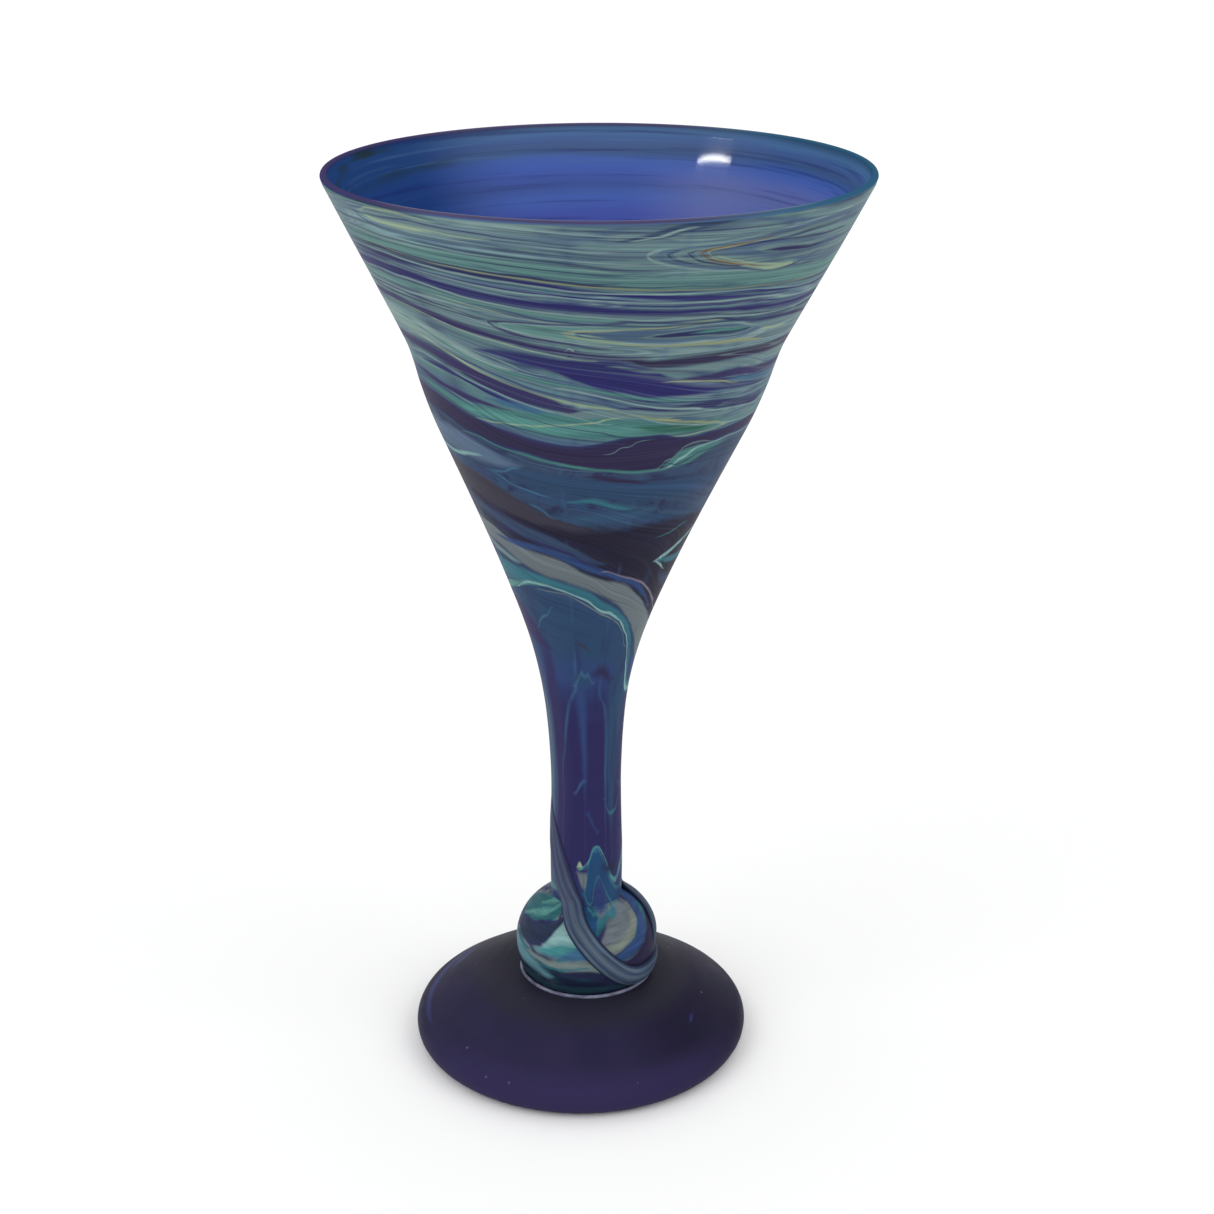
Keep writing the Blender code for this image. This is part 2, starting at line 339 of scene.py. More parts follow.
def relaxed(vectors, times):
    """The same line with its corners eased, as glass bridges them when it is drawn over them hot."""
    for _ in range(times):
        middle = [(a + 2 * b + c) / 4 for a, b, c in zip(vectors, vectors[1:], vectors[2:])]
        vectors = [vectors[0], *middle, vectors[-1]]
    return vectors


def make_trail(name, route, ridge, node):
    """A strand fused to the stem and the knop: a round ridge whose feet sink into the glass."""
    line = curve_through(route, TRAIL_STEPS)
    spots, normals = [], []
    for angle, height in line:
        a = math.radians(angle)
        level = Vector((math.sin(a), -math.cos(a), 0))
        rise = body_radius(height + SLOPE_STEP) - body_radius(height - SLOPE_STEP)
        slope = rise / (2 * SLOPE_STEP)
        spots.append(Vector((KNOP_X, 0, height)) + level * body_radius(height))
        normals.append((level - Vector((0, 0, slope))).normalized())
    spots = relaxed(spots, TRAIL_EASE)
    normals = [normal.normalized() for normal in relaxed(normals, 2 * TRAIL_EASE)]
    bm = bmesh.new()
    wrap = bm.loops.layers.uv.new("wrap")
    last = len(line) - 1
    rings = []
    for i, (spot, normal) in enumerate(zip(spots, normals)):
        along = spots[min(i + 1, last)] - spots[max(i - 1, 0)]
        across = normal.cross(along).normalized()
        fullness = math.sin(min(1.0, (min(i, last - i) + 0.2) / TRAIL_TAPER) * math.pi / 2)
        narrowing = 0.35 + 0.65 * fullness
        low = min(max((THIN_TOP - line[i][1]) / THIN_RANGE, THIN_LEAST), 1.0)
        ring = []
        for k in range(TRAIL_SIDES):
            cosine, sine = math.cos(TURN * k / TRAIL_SIDES), math.sin(TURN * k / TRAIL_SIDES)
            side = math.copysign(abs(cosine) ** 0.9, cosine) * TRAIL_WIDTH / 2 * narrowing
            lift = ridge * low * fullness * max(sine, 0) ** 0.8 + TRAIL_ROOT * min(sine, 0) - 0.15
            ring.append(bm.verts.new((spot + across * side + normal * lift) * MM))
        rings.append(ring)
    for i, (ring, following) in enumerate(zip(rings, rings[1:])):
        for k in range(TRAIL_SIDES):
            n = (k + 1) % TRAIL_SIDES
            face = bm.faces.new((ring[k], ring[n], following[n], following[k]))
            places = ((k, i), (k + 1, i), (k + 1, i + 1), (k, i + 1))
            for loop, (round_it, along_it) in zip(face.loops, places):
                loop[wrap].uv = (round_it / TRAIL_SIDES, along_it / last)
    bm.faces.new(rings[0])
    bm.faces.new(list(reversed(rings[-1])))
    return finished(name, bm, node)


# ---------------------------------------------------------------- colours
def srgb(red, green, blue):
    """A linear colour from the usual numbers, 0 to 255."""
    shares = [value / 255 for value in (red, green, blue)]
    return tuple(s / 12.92 if s <= 0.04045 else ((s + 0.055) / 1.055) ** 2.4 for s in shares)


SAGE = srgb(98, 122, 126)
PALE_SAGE = srgb(124, 149, 147)
MINT = srgb(88, 126, 123)
SLATE = srgb(72, 94, 117)
DEEP_SLATE = srgb(50, 66, 92)
STEM_LINE = srgb(58, 92, 128)
INDIGO = srgb(42, 40, 94)
NAVY = srgb(42, 44, 84)
PURPLE = srgb(52, 48, 88)
PLUM = srgb(46, 41, 70)
DARK = srgb(35, 33, 50)
BROWN = srgb(56, 54, 66)
TEAL = srgb(68, 115, 112)
BRIGHT_TEAL = srgb(82, 134, 129)
GREEN = srgb(44, 92, 78)
PALE_GREEN = srgb(140, 160, 134)
YELLOW = srgb(138, 144, 106)
ORANGE = srgb(104, 74, 50)
CYAN = srgb(60, 98, 128)
ROYAL = srgb(46, 68, 112)
LAVENDER = srgb(101, 111, 115)
TURQUOISE = srgb(52, 104, 118)
PALE_TEAL = srgb(124, 160, 160)
ROSE_GREY = srgb(116, 110, 124)
PANEL = srgb(44, 68, 98)
STEM_PLUM = srgb(43, 41, 83)
STEM_BLUE = srgb(46, 64, 108)
FLAME = srgb(35, 70, 106)


# ---------------------------------------------------------------- nodes
CURVE_TOP = 200  # mm or degrees that a route's curve can hold
UPRIGHT = (20, 120)  # heights in mm that an upright route may cross
ALL_ROUND = (-180, 180)  # degrees
FADE = 1.5  # how thin, below nothing, a stroke is past its ends


class Glass:
    """One material's nodes. Each method makes a node and returns the socket that comes out of it."""

    def __init__(self, name):
        self.material = bpy.data.materials.new(name)
        self.material.use_nodes = True
        self.tree = self.material.node_tree
        self.surface = self.tree.nodes["Principled BSDF"]
        wrap = self.tree.nodes.new("ShaderNodeUVMap")
        wrap.uv_map = "wrap"
        split = self.tree.nodes.new("ShaderNodeSeparateXYZ")
        self.tree.links.new(wrap.outputs["UV"], split.inputs[0])
        self.across, self.up = split.outputs["X"], split.outputs["Y"]
        self.angle = self.math("MULTIPLY_ADD", self.across, 360, -180)
        self.height = self.math("MULTIPLY", self.up, HEIGHT)
        turn = self.math("MULTIPLY", self.angle, math.pi / 180)
        self.side, self.front = self.math("SINE", turn), self.math("COSINE", turn)
        self.scaled = {}

    def plug(self, socket, value):
        if isinstance(value, bpy.types.NodeSocket):
            self.tree.links.new(value, socket)
        elif isinstance(value, tuple) and socket.type == "RGBA":
            socket.default_value = (*value, 1)
        else:
            socket.default_value = value

    def set(self, **values):
        """Sets or links the surface's own inputs, such as Base_Color."""
        for name, value in values.items():
            self.plug(self.surface.inputs[name.replace("_", " ")], value)

    def math(self, operation, *values):
        node = self.tree.nodes.new("ShaderNodeMath")
        node.operation = operation
        for socket, value in zip(node.inputs, values):
            self.plug(socket, value)
        return node.outputs[0]

    def span(self, value, start, end, low=0.0, high=1.0):
        """Maps start..end to low..high with soft ends, and holds the value beyond them."""
        node = self.tree.nodes.new("ShaderNodeMapRange")
        node.interpolation_type = "SMOOTHSTEP"
        node.clamp = False  # the smooth step stops at both ends by itself
        for socket, part in zip(node.inputs, (value, start, end, low, high)):
            self.plug(socket, part)
        return node.outputs[0]

    def shifted(self, base, noise, amount):
        """The base, moved up or down by a noise that is 0.5 in the middle."""
        return self.math("MULTIPLY_ADD", self.math("SUBTRACT", noise, 0.5), amount, base)

    def mix(self, share, below, above, how="MIX"):
        """Lays above over below. The node holds the share between 0 and 1."""
        node = self.tree.nodes.new("ShaderNodeMix")
        node.data_type = "RGBA"
        node.blend_type = how
        self.plug(node.inputs["Factor"], share)
        self.plug(node.inputs[6], below)
        self.plug(node.inputs[7], above)
        return node.outputs[2]

    def tint(self, below, above, share, amount):
        """Lays above over below by share times amount."""
        return self.mix(self.math("MULTIPLY", share, amount), below, above)

    def lit(self, colour, shine):
        """The colour, made lighter or darker by the shine, which is 1 where nothing changes."""
        return self.mix(1.0, colour, self.place(shine, shine, shine), "MULTIPLY")

    def place(self, x, y, z):
        node = self.tree.nodes.new("ShaderNodeCombineXYZ")
        for socket, value in zip(node.inputs, (x, y, z)):
            self.plug(socket, value)
        return node.outputs[0]

    def round_it(self, height, reach, rise):
        """A place for noise that closes on itself behind the glass.

        reach is how often the noise changes per radian round the glass, and rise how often per mm of height.
        """
        return self.place(
            self.math("MULTIPLY", self.side, reach),
            self.math("MULTIPLY", self.front, reach),
            self.math("MULTIPLY", height, rise),
        )

    def noise(self, place, scale=1.0, detail=2.0, roughness=0.5, distortion=0.0):
        node = self.tree.nodes.new("ShaderNodeTexNoise")
        node.inputs["Scale"].default_value = scale
        node.inputs["Detail"].default_value = detail
        node.inputs["Roughness"].default_value = roughness
        node.inputs["Distortion"].default_value = distortion
        self.plug(node.inputs["Vector"], place)
        return node.outputs["Fac"]

    def ramp(self, value, stops):
        """Colours by place from 0 to 1. stops is a list of (place, colour)."""
        node = self.tree.nodes.new("ShaderNodeValToRGB")
        elements = node.color_ramp.elements
        elements[0].position, elements[1].position = stops[0][0], stops[-1][0]
        for position, _ in stops[1:-1]:
            elements.new(position)
        for element, (_, colour) in zip(elements, stops):
            element.color = (*colour, 1)
        self.plug(node.inputs["Fac"], value)
        return node.outputs["Color"]

    def curve(self, value, domain, line):
        """A smooth curve through (value, result) points. The value runs from domain's low to its high."""
        low, high = domain
        size = high - low
        if (value, domain) not in self.scaled:
            self.scaled[value, domain] = self.math("MULTIPLY_ADD", value, 1 / size, -low / size)
        node = self.tree.nodes.new("ShaderNodeFloatCurve")
        self.plug(node.inputs["Value"], self.scaled[value, domain])
        node.mapping.use_clip = False
        node.mapping.extend = "HORIZONTAL"
        curve = node.mapping.curves[0]
        spots = [((at - low) / size, result / CURVE_TOP) for at, result in line]
        curve.points[0].location = spots[0]
        curve.points[1].location = spots[-1]
        for spot in spots[1:-1]:
            curve.points.new(*spot)
        for point in curve.points:
            point.handle_type = "AUTO_CLAMPED"
        node.mapping.update()
        return self.math("MULTIPLY", node.outputs[0], CURVE_TOP)

    def stroke(self, below, colour, soft, route, edge=None, fade=9, upright=False, place=None):
        """Lays a streak of colour over below, along a route of (angle, height, half its width).

        Widths are in mm. An upright route has (height, angle, half its width), with widths in degrees.
        soft is how wide the streak's border is. edge is an optional (colour, width) for a line along the
        border. A streak that doesn't go all round tapers off past its ends, over `fade` degrees or mm.
        place is the (angle, height) that the streak is laid at, where it isn't the plain one.
        """
        angle, height = place or (self.angle, self.height)
        along, over = (height, angle) if upright else (angle, height)
        domain = UPRIGHT if upright else ALL_ROUND
        start, end = route[0], route[-1]
        points = route
        if end[0] - start[0] < 360:
            points = [(start[0] - fade, start[1], -FADE), *route, (end[0] + fade, end[1], -FADE)]
        centre = self.curve(along, domain, [(p[0], p[1]) for p in points])
        gap = self.math("ABSOLUTE", self.math("SUBTRACT", over, centre))
        half = self.curve(along, domain, [(p[0], p[2]) for p in points])
        depth = self.math("SUBTRACT", half, gap)
        inside = self.math("MULTIPLY_ADD", depth, 1 / soft, 0.5)
        out = self.mix(inside, below, colour)
        if edge:
            line_colour, width = edge
            line = self.math("MULTIPLY_ADD", self.math("ABSOLUTE", depth), -1 / width, 1)
            out = self.mix(line, out, line_colour)
        return out

    def strokes(self, below, streaks, **how):
        for streak in streaks:
            below = self.stroke(below, *streak, **how)
        return below

    def bump(self, height, strength, distance):
        node = self.tree.nodes.new("ShaderNodeBump")
        node.inputs["Strength"].default_value = strength
        node.inputs["Distance"].default_value = distance
        self.plug(node.inputs["Height"], height)
        return node.outputs[0]


# ---------------------------------------------------------------- the marbled casing
# How far a streak that passes the front at each height has risen or fallen at other angles, in mm
DRIFT = {
    196: [(-180, 0), (-75, 1), (-45, 2), (-15, 1), (0, 0), (15, -0.5), (45, -1.5), (75, -2), (180, 0)],
    182: [
        (-180, 0), (-90, 2.5), (-60, 4), (-45, 3.5), (-15, 1), (0, 0), (15, -0.7), (45, -2.5), (70, -4),
        (180, 0),
    ],
    171: [
        (-180, 0), (-90, 4.5), (-60, 7), (-45, 6), (-30, 3.5), (-15, 1.5), (0, 0), (15, -0.7), (45, -1.5),
        (75, -2.5), (180, 0),
    ],
    160: [
        (-180, 0), (-90, 6), (-65, 9.5), (-45, 8), (-30, 5), (-15, 2), (0, 0), (15, -3), (45, -6.5),
        (75, -8), (180, 0),
    ],
    148: [
        (-180, 0), (-90, 3), (-65, 6), (-45, 4), (-30, 2), (-15, 0.7), (0, 0), (45, 0.5), (75, 0), (180, 0),
    ],
    130: [
        (-180, 0), (-90, 9), (-60, 9.5), (-45, 7.5), (-30, 4.5), (-15, 2), (0, 0), (15, -3), (45, -7),
        (75, -9), (180, 0),
    ],
    116: [
        (-180, 0), (-90, 3), (-60, 6), (-45, 5), (-30, 3), (-15, 2), (0, 0), (15, -4), (30, -7), (45, -12),
        (70, -20), (180, 0),
    ],
}

# The casing's ground colour by height in mm, before any streak is laid over it
GROUND = [
    (36, STEM_BLUE), (46, STEM_PLUM), (82, STEM_PLUM), (92, STEM_BLUE), (100, PANEL), (111, PANEL),
    (114, DEEP_SLATE), (122, DARK), (130, DARK), (133, DEEP_SLATE), (137, PANEL), (141, DEEP_SLATE),
    (147, DEEP_SLATE), (152, SLATE), (156, MINT), (161, SLATE), (166, SLATE), (172, SAGE), (178, SAGE),
    (183, SLATE), (188, MINT), (190, SAGE), (196, SAGE),
]

HAIRPIN = (0, 0.012, 0.05, 0.13, 0.3, 0.6, 1)  # shares along a limb at which its points lie


def hairpin(colour, soft, tip, upper, lower, half):
    """A streak drawn round on itself: two limbs that leave one round tip and fade at their far ends."""
    limbs = []
    for end in (upper, lower):
        route = []
        for share in HAIRPIN:
            angle = tip[0] + (end[0] - tip[0]) * share
            height = tip[1] + (end[1] - tip[1]) * share**0.5
            route.append((angle, height, half * (1 - 0.8 * share**3)))
        limbs.append((colour, soft, route, None, 1.2))
    return limbs


def all_round(colour, soft, route, edge=None):
    """The streak carried on behind the glass until its two ends meet."""
    (_, start, thin), (_, end, fine) = route[0], route[-1]
    meeting = ((start + end) / 2, max(thin, fine, 0.7))
    return colour, soft, [(-180, *meeting), *route, (180, *meeting)], edge


# Streaks on the bowl: colour, softness, (angle, height, half-width) points, and an edge where one shows
BOWL_STREAKS = [
    # under the lip
    (srgb(118, 148, 154), 2.0, [(-62, 194.6, 0), (-46, 193.6, 1.4), (-30, 192.6, 1.2), (-12, 191.8, 0)]),
    (PALE_SAGE, 2.0, [(-34, 198.4, 0.3), (-22, 198.6, 0.9), (-10, 198.5, 0.2)]),
    (SLATE, 1.2, [
        (-62, 196.5, 0), (-45, 197.8, 0.4), (-20, 194.8, 1.0), (-4, 195.6, 0.7), (10, 198.6, 0.3),
    ]),
    (SAGE, 1.0, [(-56, 196.2, 0), (-45, 196.3, 1.0), (-25, 195.4, 0.6), (-8, 194.6, 0.2)]),
    (PALE_GREEN, 0.5, [(-54.5, 196.6, 0), (-52, 197.4, 0.2), (-44, 197.6, 0.22), (-34, 196.8, 0.05)]),
    (PALE_GREEN, 0.5, [
        (-54.5, 196.4, 0), (-52, 195.7, 0.25), (-45, 195.1, 0.35), (-32, 194.8, 0.16), (-22, 194.6, 0),
    ]),
    (SLATE, 0.6, [
        (-59, 196.6, 0), (-55, 194.9, 0.3), (-42, 193.8, 0.35), (-20, 192.9, 0.3), (0, 191.4, 0.1),
    ]),
    (DEEP_SLATE, 0.5, [(-44, 193, 0), (-24, 191.9, 0.25), (-4, 190.2, 0.3), (14, 188.8, 0.1)]),
    (DEEP_SLATE, 0.5, [(3, 195.2, 0), (8, 195.8, 0.6), (16, 197.4, 0.8), (30, 198.6, 0.3)]),
    (PALE_SAGE, 0.3, [(6, 195.3, 0), (11, 196.1, 0.22), (18, 197.4, 0.1)]),
    (SLATE, 0.8, [(24, 198.4, 0), (36, 197.2, 0.5), (50, 195, 0.4), (68, 193.6, 0.6)]),
    # the brown hairpin at the upper right, and the rings round it
    *hairpin(PALE_SAGE, 0.5, (9.5, 192.4), (62, 196), (60, 185.2), 0.22),
    *hairpin(SLATE, 0.6, (12, 192.4), (64, 195.4), (60, 185.9), 0.5),
    *hairpin(DEEP_SLATE, 0.4, (14, 192.5), (62, 194.8), (56, 186.4), 0.24),
    *hairpin(SAGE, 0.5, (16, 192.5), (60, 194.5), (52, 187), 0.4),
    (SLATE, 0.7, [(23, 192.4, 0), (30, 192.2, 1.0), (38, 191.5, 1.5), (48, 190.7, 1.1), (62, 190, 0.3)]),
    *hairpin(NAVY, 0.35, (18.6, 192.5), (58, 193.7), (44, 187.2), 0.2),
    *hairpin(SAGE, 0.35, (19.8, 192.5), (46, 194), (42, 187.8), 0.16),
    (SAGE, 0.4, [(33, 192.2, 0), (37, 191.8, 0.7), (45, 191.2, 0.8), (54, 190.7, 0.3)]),
    (NAVY, 0.4, [(36, 191.6, 0), (43, 191.2, 0.4), (54, 190.4, 0.2)]),
    (NAVY, 0.3, [(28, 193.3, 0), (40, 193, 0.14), (62, 191.8, 0.16)]),
    *hairpin(ORANGE, 0.3, (21.2, 192.6), (38, 194.1), (38, 188.2), 0.19),
    *hairpin(YELLOW, 0.3, (22.6, 192.6), (31, 193.5), (34, 188.9), 0.1),
    (PALE_GREEN, 0.4, [
        (24, 191.6, 0), (28, 190.6, 0.14), (34, 189.1, 0.18), (40, 188, 0.2), (46.5, 187.5, 0.12),
    ], None, 2),
    (PALE_GREEN, 0.5, [(31, 188.8, 0), (35, 188, 0.25), (41, 187.3, 0.4), (46.5, 187.5, 0.2)], None, 1.5),
    (NAVY, 0.35, [
        (28, 188.4, 0), (35, 187.3, 0.1), (42, 186.6, 0.14), (48, 187.2, 0.12), (56, 188.6, 0.05),
    ]),
    (SLATE, 0.6, [(44, 188.6, 0), (55, 187.2, 0.6), (68, 186.4, 0.4)]),
    # sage and slate between the hairpin and the indigo band
    all_round(MINT, 1.0, [
        (-78, 190.5, 0.6), (-45, 190, 1.5), (-15, 189, 1.9), (0, 187.6, 1.5), (15, 186, 1.6),
        (45, 184.8, 1.7), (66, 183.8, 1.4),
    ]),
    (DEEP_SLATE, 0.4, [(-66, 189.2, 0), (-40, 188.6, 0.35), (-15, 187.3, 0.3), (0, 186.4, 0.2)]),
    (NAVY, 0.8, [(-80, 187.5, 0.1), (-45, 187.6, 0.6), (-25, 187.1, 0.5), (-8, 186, 0.1)]),
    (YELLOW, 0.35, [
        (-60, 189.5, 0.05), (-30, 188, 0.15), (0, 186, 0.16), (30, 183.9, 0.12), (60, 182.7, 0.05),
    ]),
    (INDIGO, 0.5, [
        (-22, 186.3, 0), (-5, 185.2, 0.45), (15, 183.3, 0.5), (34, 181.6, 0.35), (50, 180.7, 0.1),
    ]),
    (MINT, 0.5, [(-78, 182.6, 0.4), (-45, 182.2, 0.5), (-20, 180.6, 0.5), (4, 179, 0.3)]),
    all_round(INDIGO, 0.7, [
        (-110, 182.6, 0.8), (-75, 184.5, 0.8), (-60, 185, 1.0), (-45, 184.5, 0.95), (-30, 183.1, 0.9),
        (-15, 182, 0.85), (0, 181, 0.75), (15, 180.3, 0.6), (30, 179.5, 0.5), (45, 178.5, 0.7),
        (62, 177.4, 0.8), (95, 176, 0.9),
    ]),
    (PALE_SAGE, 0.35, [(-75, 181.2, 0.15), (-45, 180.8, 0.2), (-20, 179.2, 0.16), (0, 178.2, 0.1)]),
    (NAVY, 0.35, [(-80, 188.6, 0.05), (-45, 188.8, 0.16), (-18, 187.8, 0.14), (4, 186.6, 0.05)]),
    (INDIGO, 0.4, [
        (-82, 186.2, 0.1), (-55, 186.6, 0.3), (-30, 185.4, 0.35), (-8, 183.8, 0.3), (14, 182.2, 0.25),
        (40, 180.6, 0.1),
    ]),
    (INDIGO, 0.35, [(10, 184.6, 0), (30, 183, 0.2), (55, 181.2, 0.25), (80, 180.2, 0.1)]),
    (NAVY, 0.35, [(-76, 180, 0.05), (-50, 179.6, 0.16), (-25, 177.6, 0.05)]),
    (NAVY, 0.35, [(14, 179.4, 0), (34, 178.2, 0.2), (60, 176, 0.25), (84, 175, 0.1)]),
    # the purple line and the hairpins round the yellow one
    (PURPLE, 0.7, [
        (-92, 176.5, 0.2), (-75, 177.6, 0.7), (-60, 178.2, 0.9), (-45, 177, 0.8), (-30, 174.6, 0.7),
        (-15, 172.6, 0.6), (0, 171, 0.6), (12, 170.3, 0.3),
    ]),
    (MINT, 0.6, [
        (-28, 177.3, 0), (-22, 177, 0.8), (-8, 176.2, 1.6), (8, 175.4, 2.0), (22, 174.8, 1.6),
        (36, 174, 0.6),
    ]),
    *hairpin(PURPLE, 0.4, (-26.5, 177.3), (8, 178.4), (4, 172.6), 0.24),
    *hairpin(PALE_SAGE, 0.4, (-24, 177.2), (6, 178), (4, 173.2), 0.12),
    (PALE_SAGE, 0.5, [
        (-8, 176.4, 0), (-4, 176.3, 0.7), (6, 175.7, 1.5), (20, 174.8, 2.2), (36, 174.1, 2.2),
        (48, 173, 0.8),
    ]),
    *hairpin(YELLOW, 0.4, (-7.8, 176.3), (32, 177.4), (26, 172.5), 0.19),
    *hairpin(DEEP_SLATE, 0.35, (-5, 176.2), (40, 176.9), (42, 172.9), 0.16),
    *hairpin(PALE_GREEN, 0.35, (-2, 176.1), (26, 176.6), (20, 174.2), 0.12),
    (SLATE, 0.5, [(-3, 176.1, 0), (4, 175.8, 0.9), (18, 175, 1.6), (34, 174.5, 1.6), (46, 173.8, 0.4)]),
    (NAVY, 0.5, [(12, 175.2, 0), (20, 175, 0.7), (30, 174.7, 0.8), (42, 174.3, 0.3)], (SAGE, 0.3)),
    (TEAL, 0.5, [(24, 174.9, 0), (31, 174.9, 0.4), (40, 174.6, 0.2)]),
    (YELLOW, 0.4, [(12, 173, 0), (30, 172.4, 0.22), (44, 171.6, 0.28), (49, 171.1, 0.1)]),
    (NAVY, 0.4, [(20, 178.8, 0), (38, 176.6, 0.3), (60, 174.6, 0.4), (80, 173, 0.1)]),
    (PALE_GREEN, 0.4, [(47, 173.6, 0), (53, 173, 0.25), (60, 172.6, 0.05)]),
    # a trapped bubble: a pale crescent of painted highlight over a dark one of painted shade
    (PALE_SAGE, 0.25, [
        (-8.2, 171.6, 0), (-7.6, 172.3, 0.12), (-6.4, 172.6, 0.16), (-5.2, 172, 0.1),
    ], None, 0.8),
    (NAVY, 0.25, [(-7.6, 171.3, 0), (-6.6, 170.9, 0.12), (-5.4, 171.2, 0.1)], None, 0.8),
    # the big indigo lens and the bands to its right
    (INDIGO, 0.7, [
        (-34, 170.7, 0), (-22, 170.1, 0.9), (-10, 168.9, 1.6), (0, 167.2, 2.9), (8, 166.2, 3.3),
        (15, 165, 3.3), (22, 163.4, 2.3), (32, 162, 1.2), (46, 161, 0.7), (64, 160, 0.3),
    ]),
    (PLUM, 0.6, [
        (6, 170.4, 0), (15, 169.2, 0.7), (30, 168.8, 1.0), (45, 168.5, 1.1), (60, 168, 1.1),
        (78, 167.2, 0.8), (96, 166.5, 0.2),
    ]),
    (SAGE, 0.5, [(4, 168.9, 0), (15, 167.7, 0.35), (34, 166.6, 0.7), (60, 165.6, 0.7), (80, 165, 0.3)]),
    (PURPLE, 0.6, [(22, 164.9, 0), (34, 164.3, 0.7), (45, 164, 0.9), (60, 163, 0.9), (80, 162.4, 0.4)]),
    (YELLOW, 0.3, [(20, 164.8, 0), (30, 164, 0.16), (40, 162.6, 0.14), (47, 161.6, 0.05)]),
    (CYAN, 0.6, [(44, 162.4, 0), (54, 161.8, 0.4), (64, 161, 0.3), (72, 160.8, 0.1)]),
    # the lines that fall from the left to the front
    (PALE_SAGE, 1.5, [
        (-90, 172, 0.6), (-70, 173.4, 2.4), (-55, 173, 2.2), (-40, 170.5, 1.3), (-26, 167.4, 0.4),
    ]),
    (TEAL, 0.5, [
        (-60, 174, 0.1), (-45, 171, 0.25), (-30, 167.5, 0.3), (-15, 165.5, 0.3), (0, 163.5, 0.3),
        (15, 161.4, 0.25), (32, 159.8, 0.1),
    ]),
    (PALE_GREEN, 0.5, [
        (-62, 171.8, 0.05), (-45, 169, 0.25), (-30, 165.1, 0.35), (-15, 162.1, 0.3), (0, 160, 0.25),
        (12, 158.4, 0.15), (24, 156.6, 0.1),
    ]),
    (PURPLE, 0.8, [
        (-100, 166.6, 0.3), (-75, 168.4, 0.8), (-60, 168.3, 1.1), (-45, 166.9, 1.3), (-30, 163.4, 1.7),
        (-15, 160.8, 1.3), (-2, 159, 0.2),
    ]),
    (SLATE, 0.6, [(-80, 165.6, 0.4), (-55, 165.3, 0.5), (-35, 162.4, 0.4), (-18, 159.7, 0.2)]),
    (INDIGO, 0.5, [(-60, 164.7, 0.1), (-45, 163.8, 0.45), (-30, 160.9, 0.45), (-18, 158.9, 0.1)]),
    (CYAN, 0.7, [(-34, 160, 0), (-26, 159.4, 0.7), (-18, 158.4, 0.7), (-11, 157.3, 0.2)]),
    (PURPLE, 0.6, [(-72, 161.8, 0.2), (-50, 160.2, 0.6), (-36, 158.8, 0.5), (-26, 158, 0.1)]),
    # the bright teal zone over the shoulder
    (TEAL, 1.0, [
        (-66, 159.6, 0.2), (-45, 157.4, 0.9), (-30, 156.4, 1.6), (-15, 155.6, 2.4), (0, 155.4, 2.6),
        (15, 155, 1.8), (30, 154.2, 1.2), (44, 153.4, 0.5),
    ]),
    (BRIGHT_TEAL, 0.9, [
        (-46, 157, 0), (-30, 156.3, 0.8), (-14, 155, 1.2), (0, 154.9, 0.9), (16, 154.8, 0.5),
        (26, 154.6, 0.1),
    ]),
    (GREEN, 0.8, [(13, 155.2, 0), (22, 154.6, 0.7), (30, 154.2, 0.8), (39, 153.5, 0.3)]),
    (SAGE, 0.5, [(-10, 158, 0), (0, 158.4, 0.9), (12, 158, 0.9), (30, 157, 0.6), (50, 155.4, 0.3)]),
    (NAVY, 0.6, [(8, 159.4, 0), (24, 158.4, 0.5), (45, 157.6, 0.7), (66, 156, 0.5)]),
    (PALE_GREEN, 0.3, [
        (-40, 155.2, 0), (-26, 155, 0.12), (-12, 155.4, 0.12), (0, 156.6, 0.14), (8, 157.4, 0.05),
    ]),
    (YELLOW, 0.35, [(10, 157.9, 0), (20, 156.6, 0.18), (34, 155, 0.2), (44, 153.8, 0.22), (49, 153, 0.1)]),
    (PALE_GREEN, 0.3, [(24, 152.6, 0), (36, 152.3, 0.14), (44, 152.4, 0.16), (49, 152.8, 0.1)]),
    # the plum band under it
    all_round(PLUM, 0.6, [
        (-110, 154, 1.2), (-75, 156, 1.7), (-60, 155.8, 1.9), (-45, 153.6, 2.1), (-30, 151.5, 2.0),
        (-15, 149.6, 1.7), (0, 148.6, 2.6), (10, 148.8, 3.9), (20, 148.9, 4.2), (26, 148.8, 3.8),
        (31, 149.8, 1.9), (45, 150.4, 0.9), (70, 150.2, 1.2), (95, 150.6, 1.3),
    ], (NAVY, 0.5)),
    (TEAL, 0.5, [
        (-48, 150.9, 0.05), (-30, 148.9, 0.22), (-15, 147.5, 0.3), (0, 146, 0.3), (15, 144.9, 0.35),
        (27, 144.7, 0.3),
    ]),
    (SAGE, 0.3, [
        (4, 149.2, 0), (7, 149.5, 0.08), (9, 150.4, 0.1), (12, 150.6, 0.08), (14, 151.8, 0.1),
        (20, 152.4, 0.06),
    ]),
    (TEAL, 0.9, [(26, 145.8, 0), (32, 146.8, 1.9), (38, 147.4, 2.0), (44, 148, 1.0), (52, 148.3, 0.2)]),
    (SAGE, 0.3, [
        (22, 144.6, 0), (25, 145.4, 0.1), (27, 147, 0.12), (30, 147.4, 0.1), (33, 149.6, 0.14),
        (40, 150.2, 0.1), (46, 149.4, 0),
    ]),
    (PALE_TEAL, 0.4, [
        (27, 144.9, 0), (30, 145.4, 0.3), (32, 146.6, 0.4), (35, 147.4, 0.4), (39, 148.8, 0.22),
        (46, 149.1, 0.1), (70, 148.4, 0.06),
    ]),
    (NAVY, 0.4, [(28, 146.2, 0), (32, 145.4, 0.14), (37, 146.4, 0.16), (42, 147.6, 0.12), (50, 147.6, 0)]),
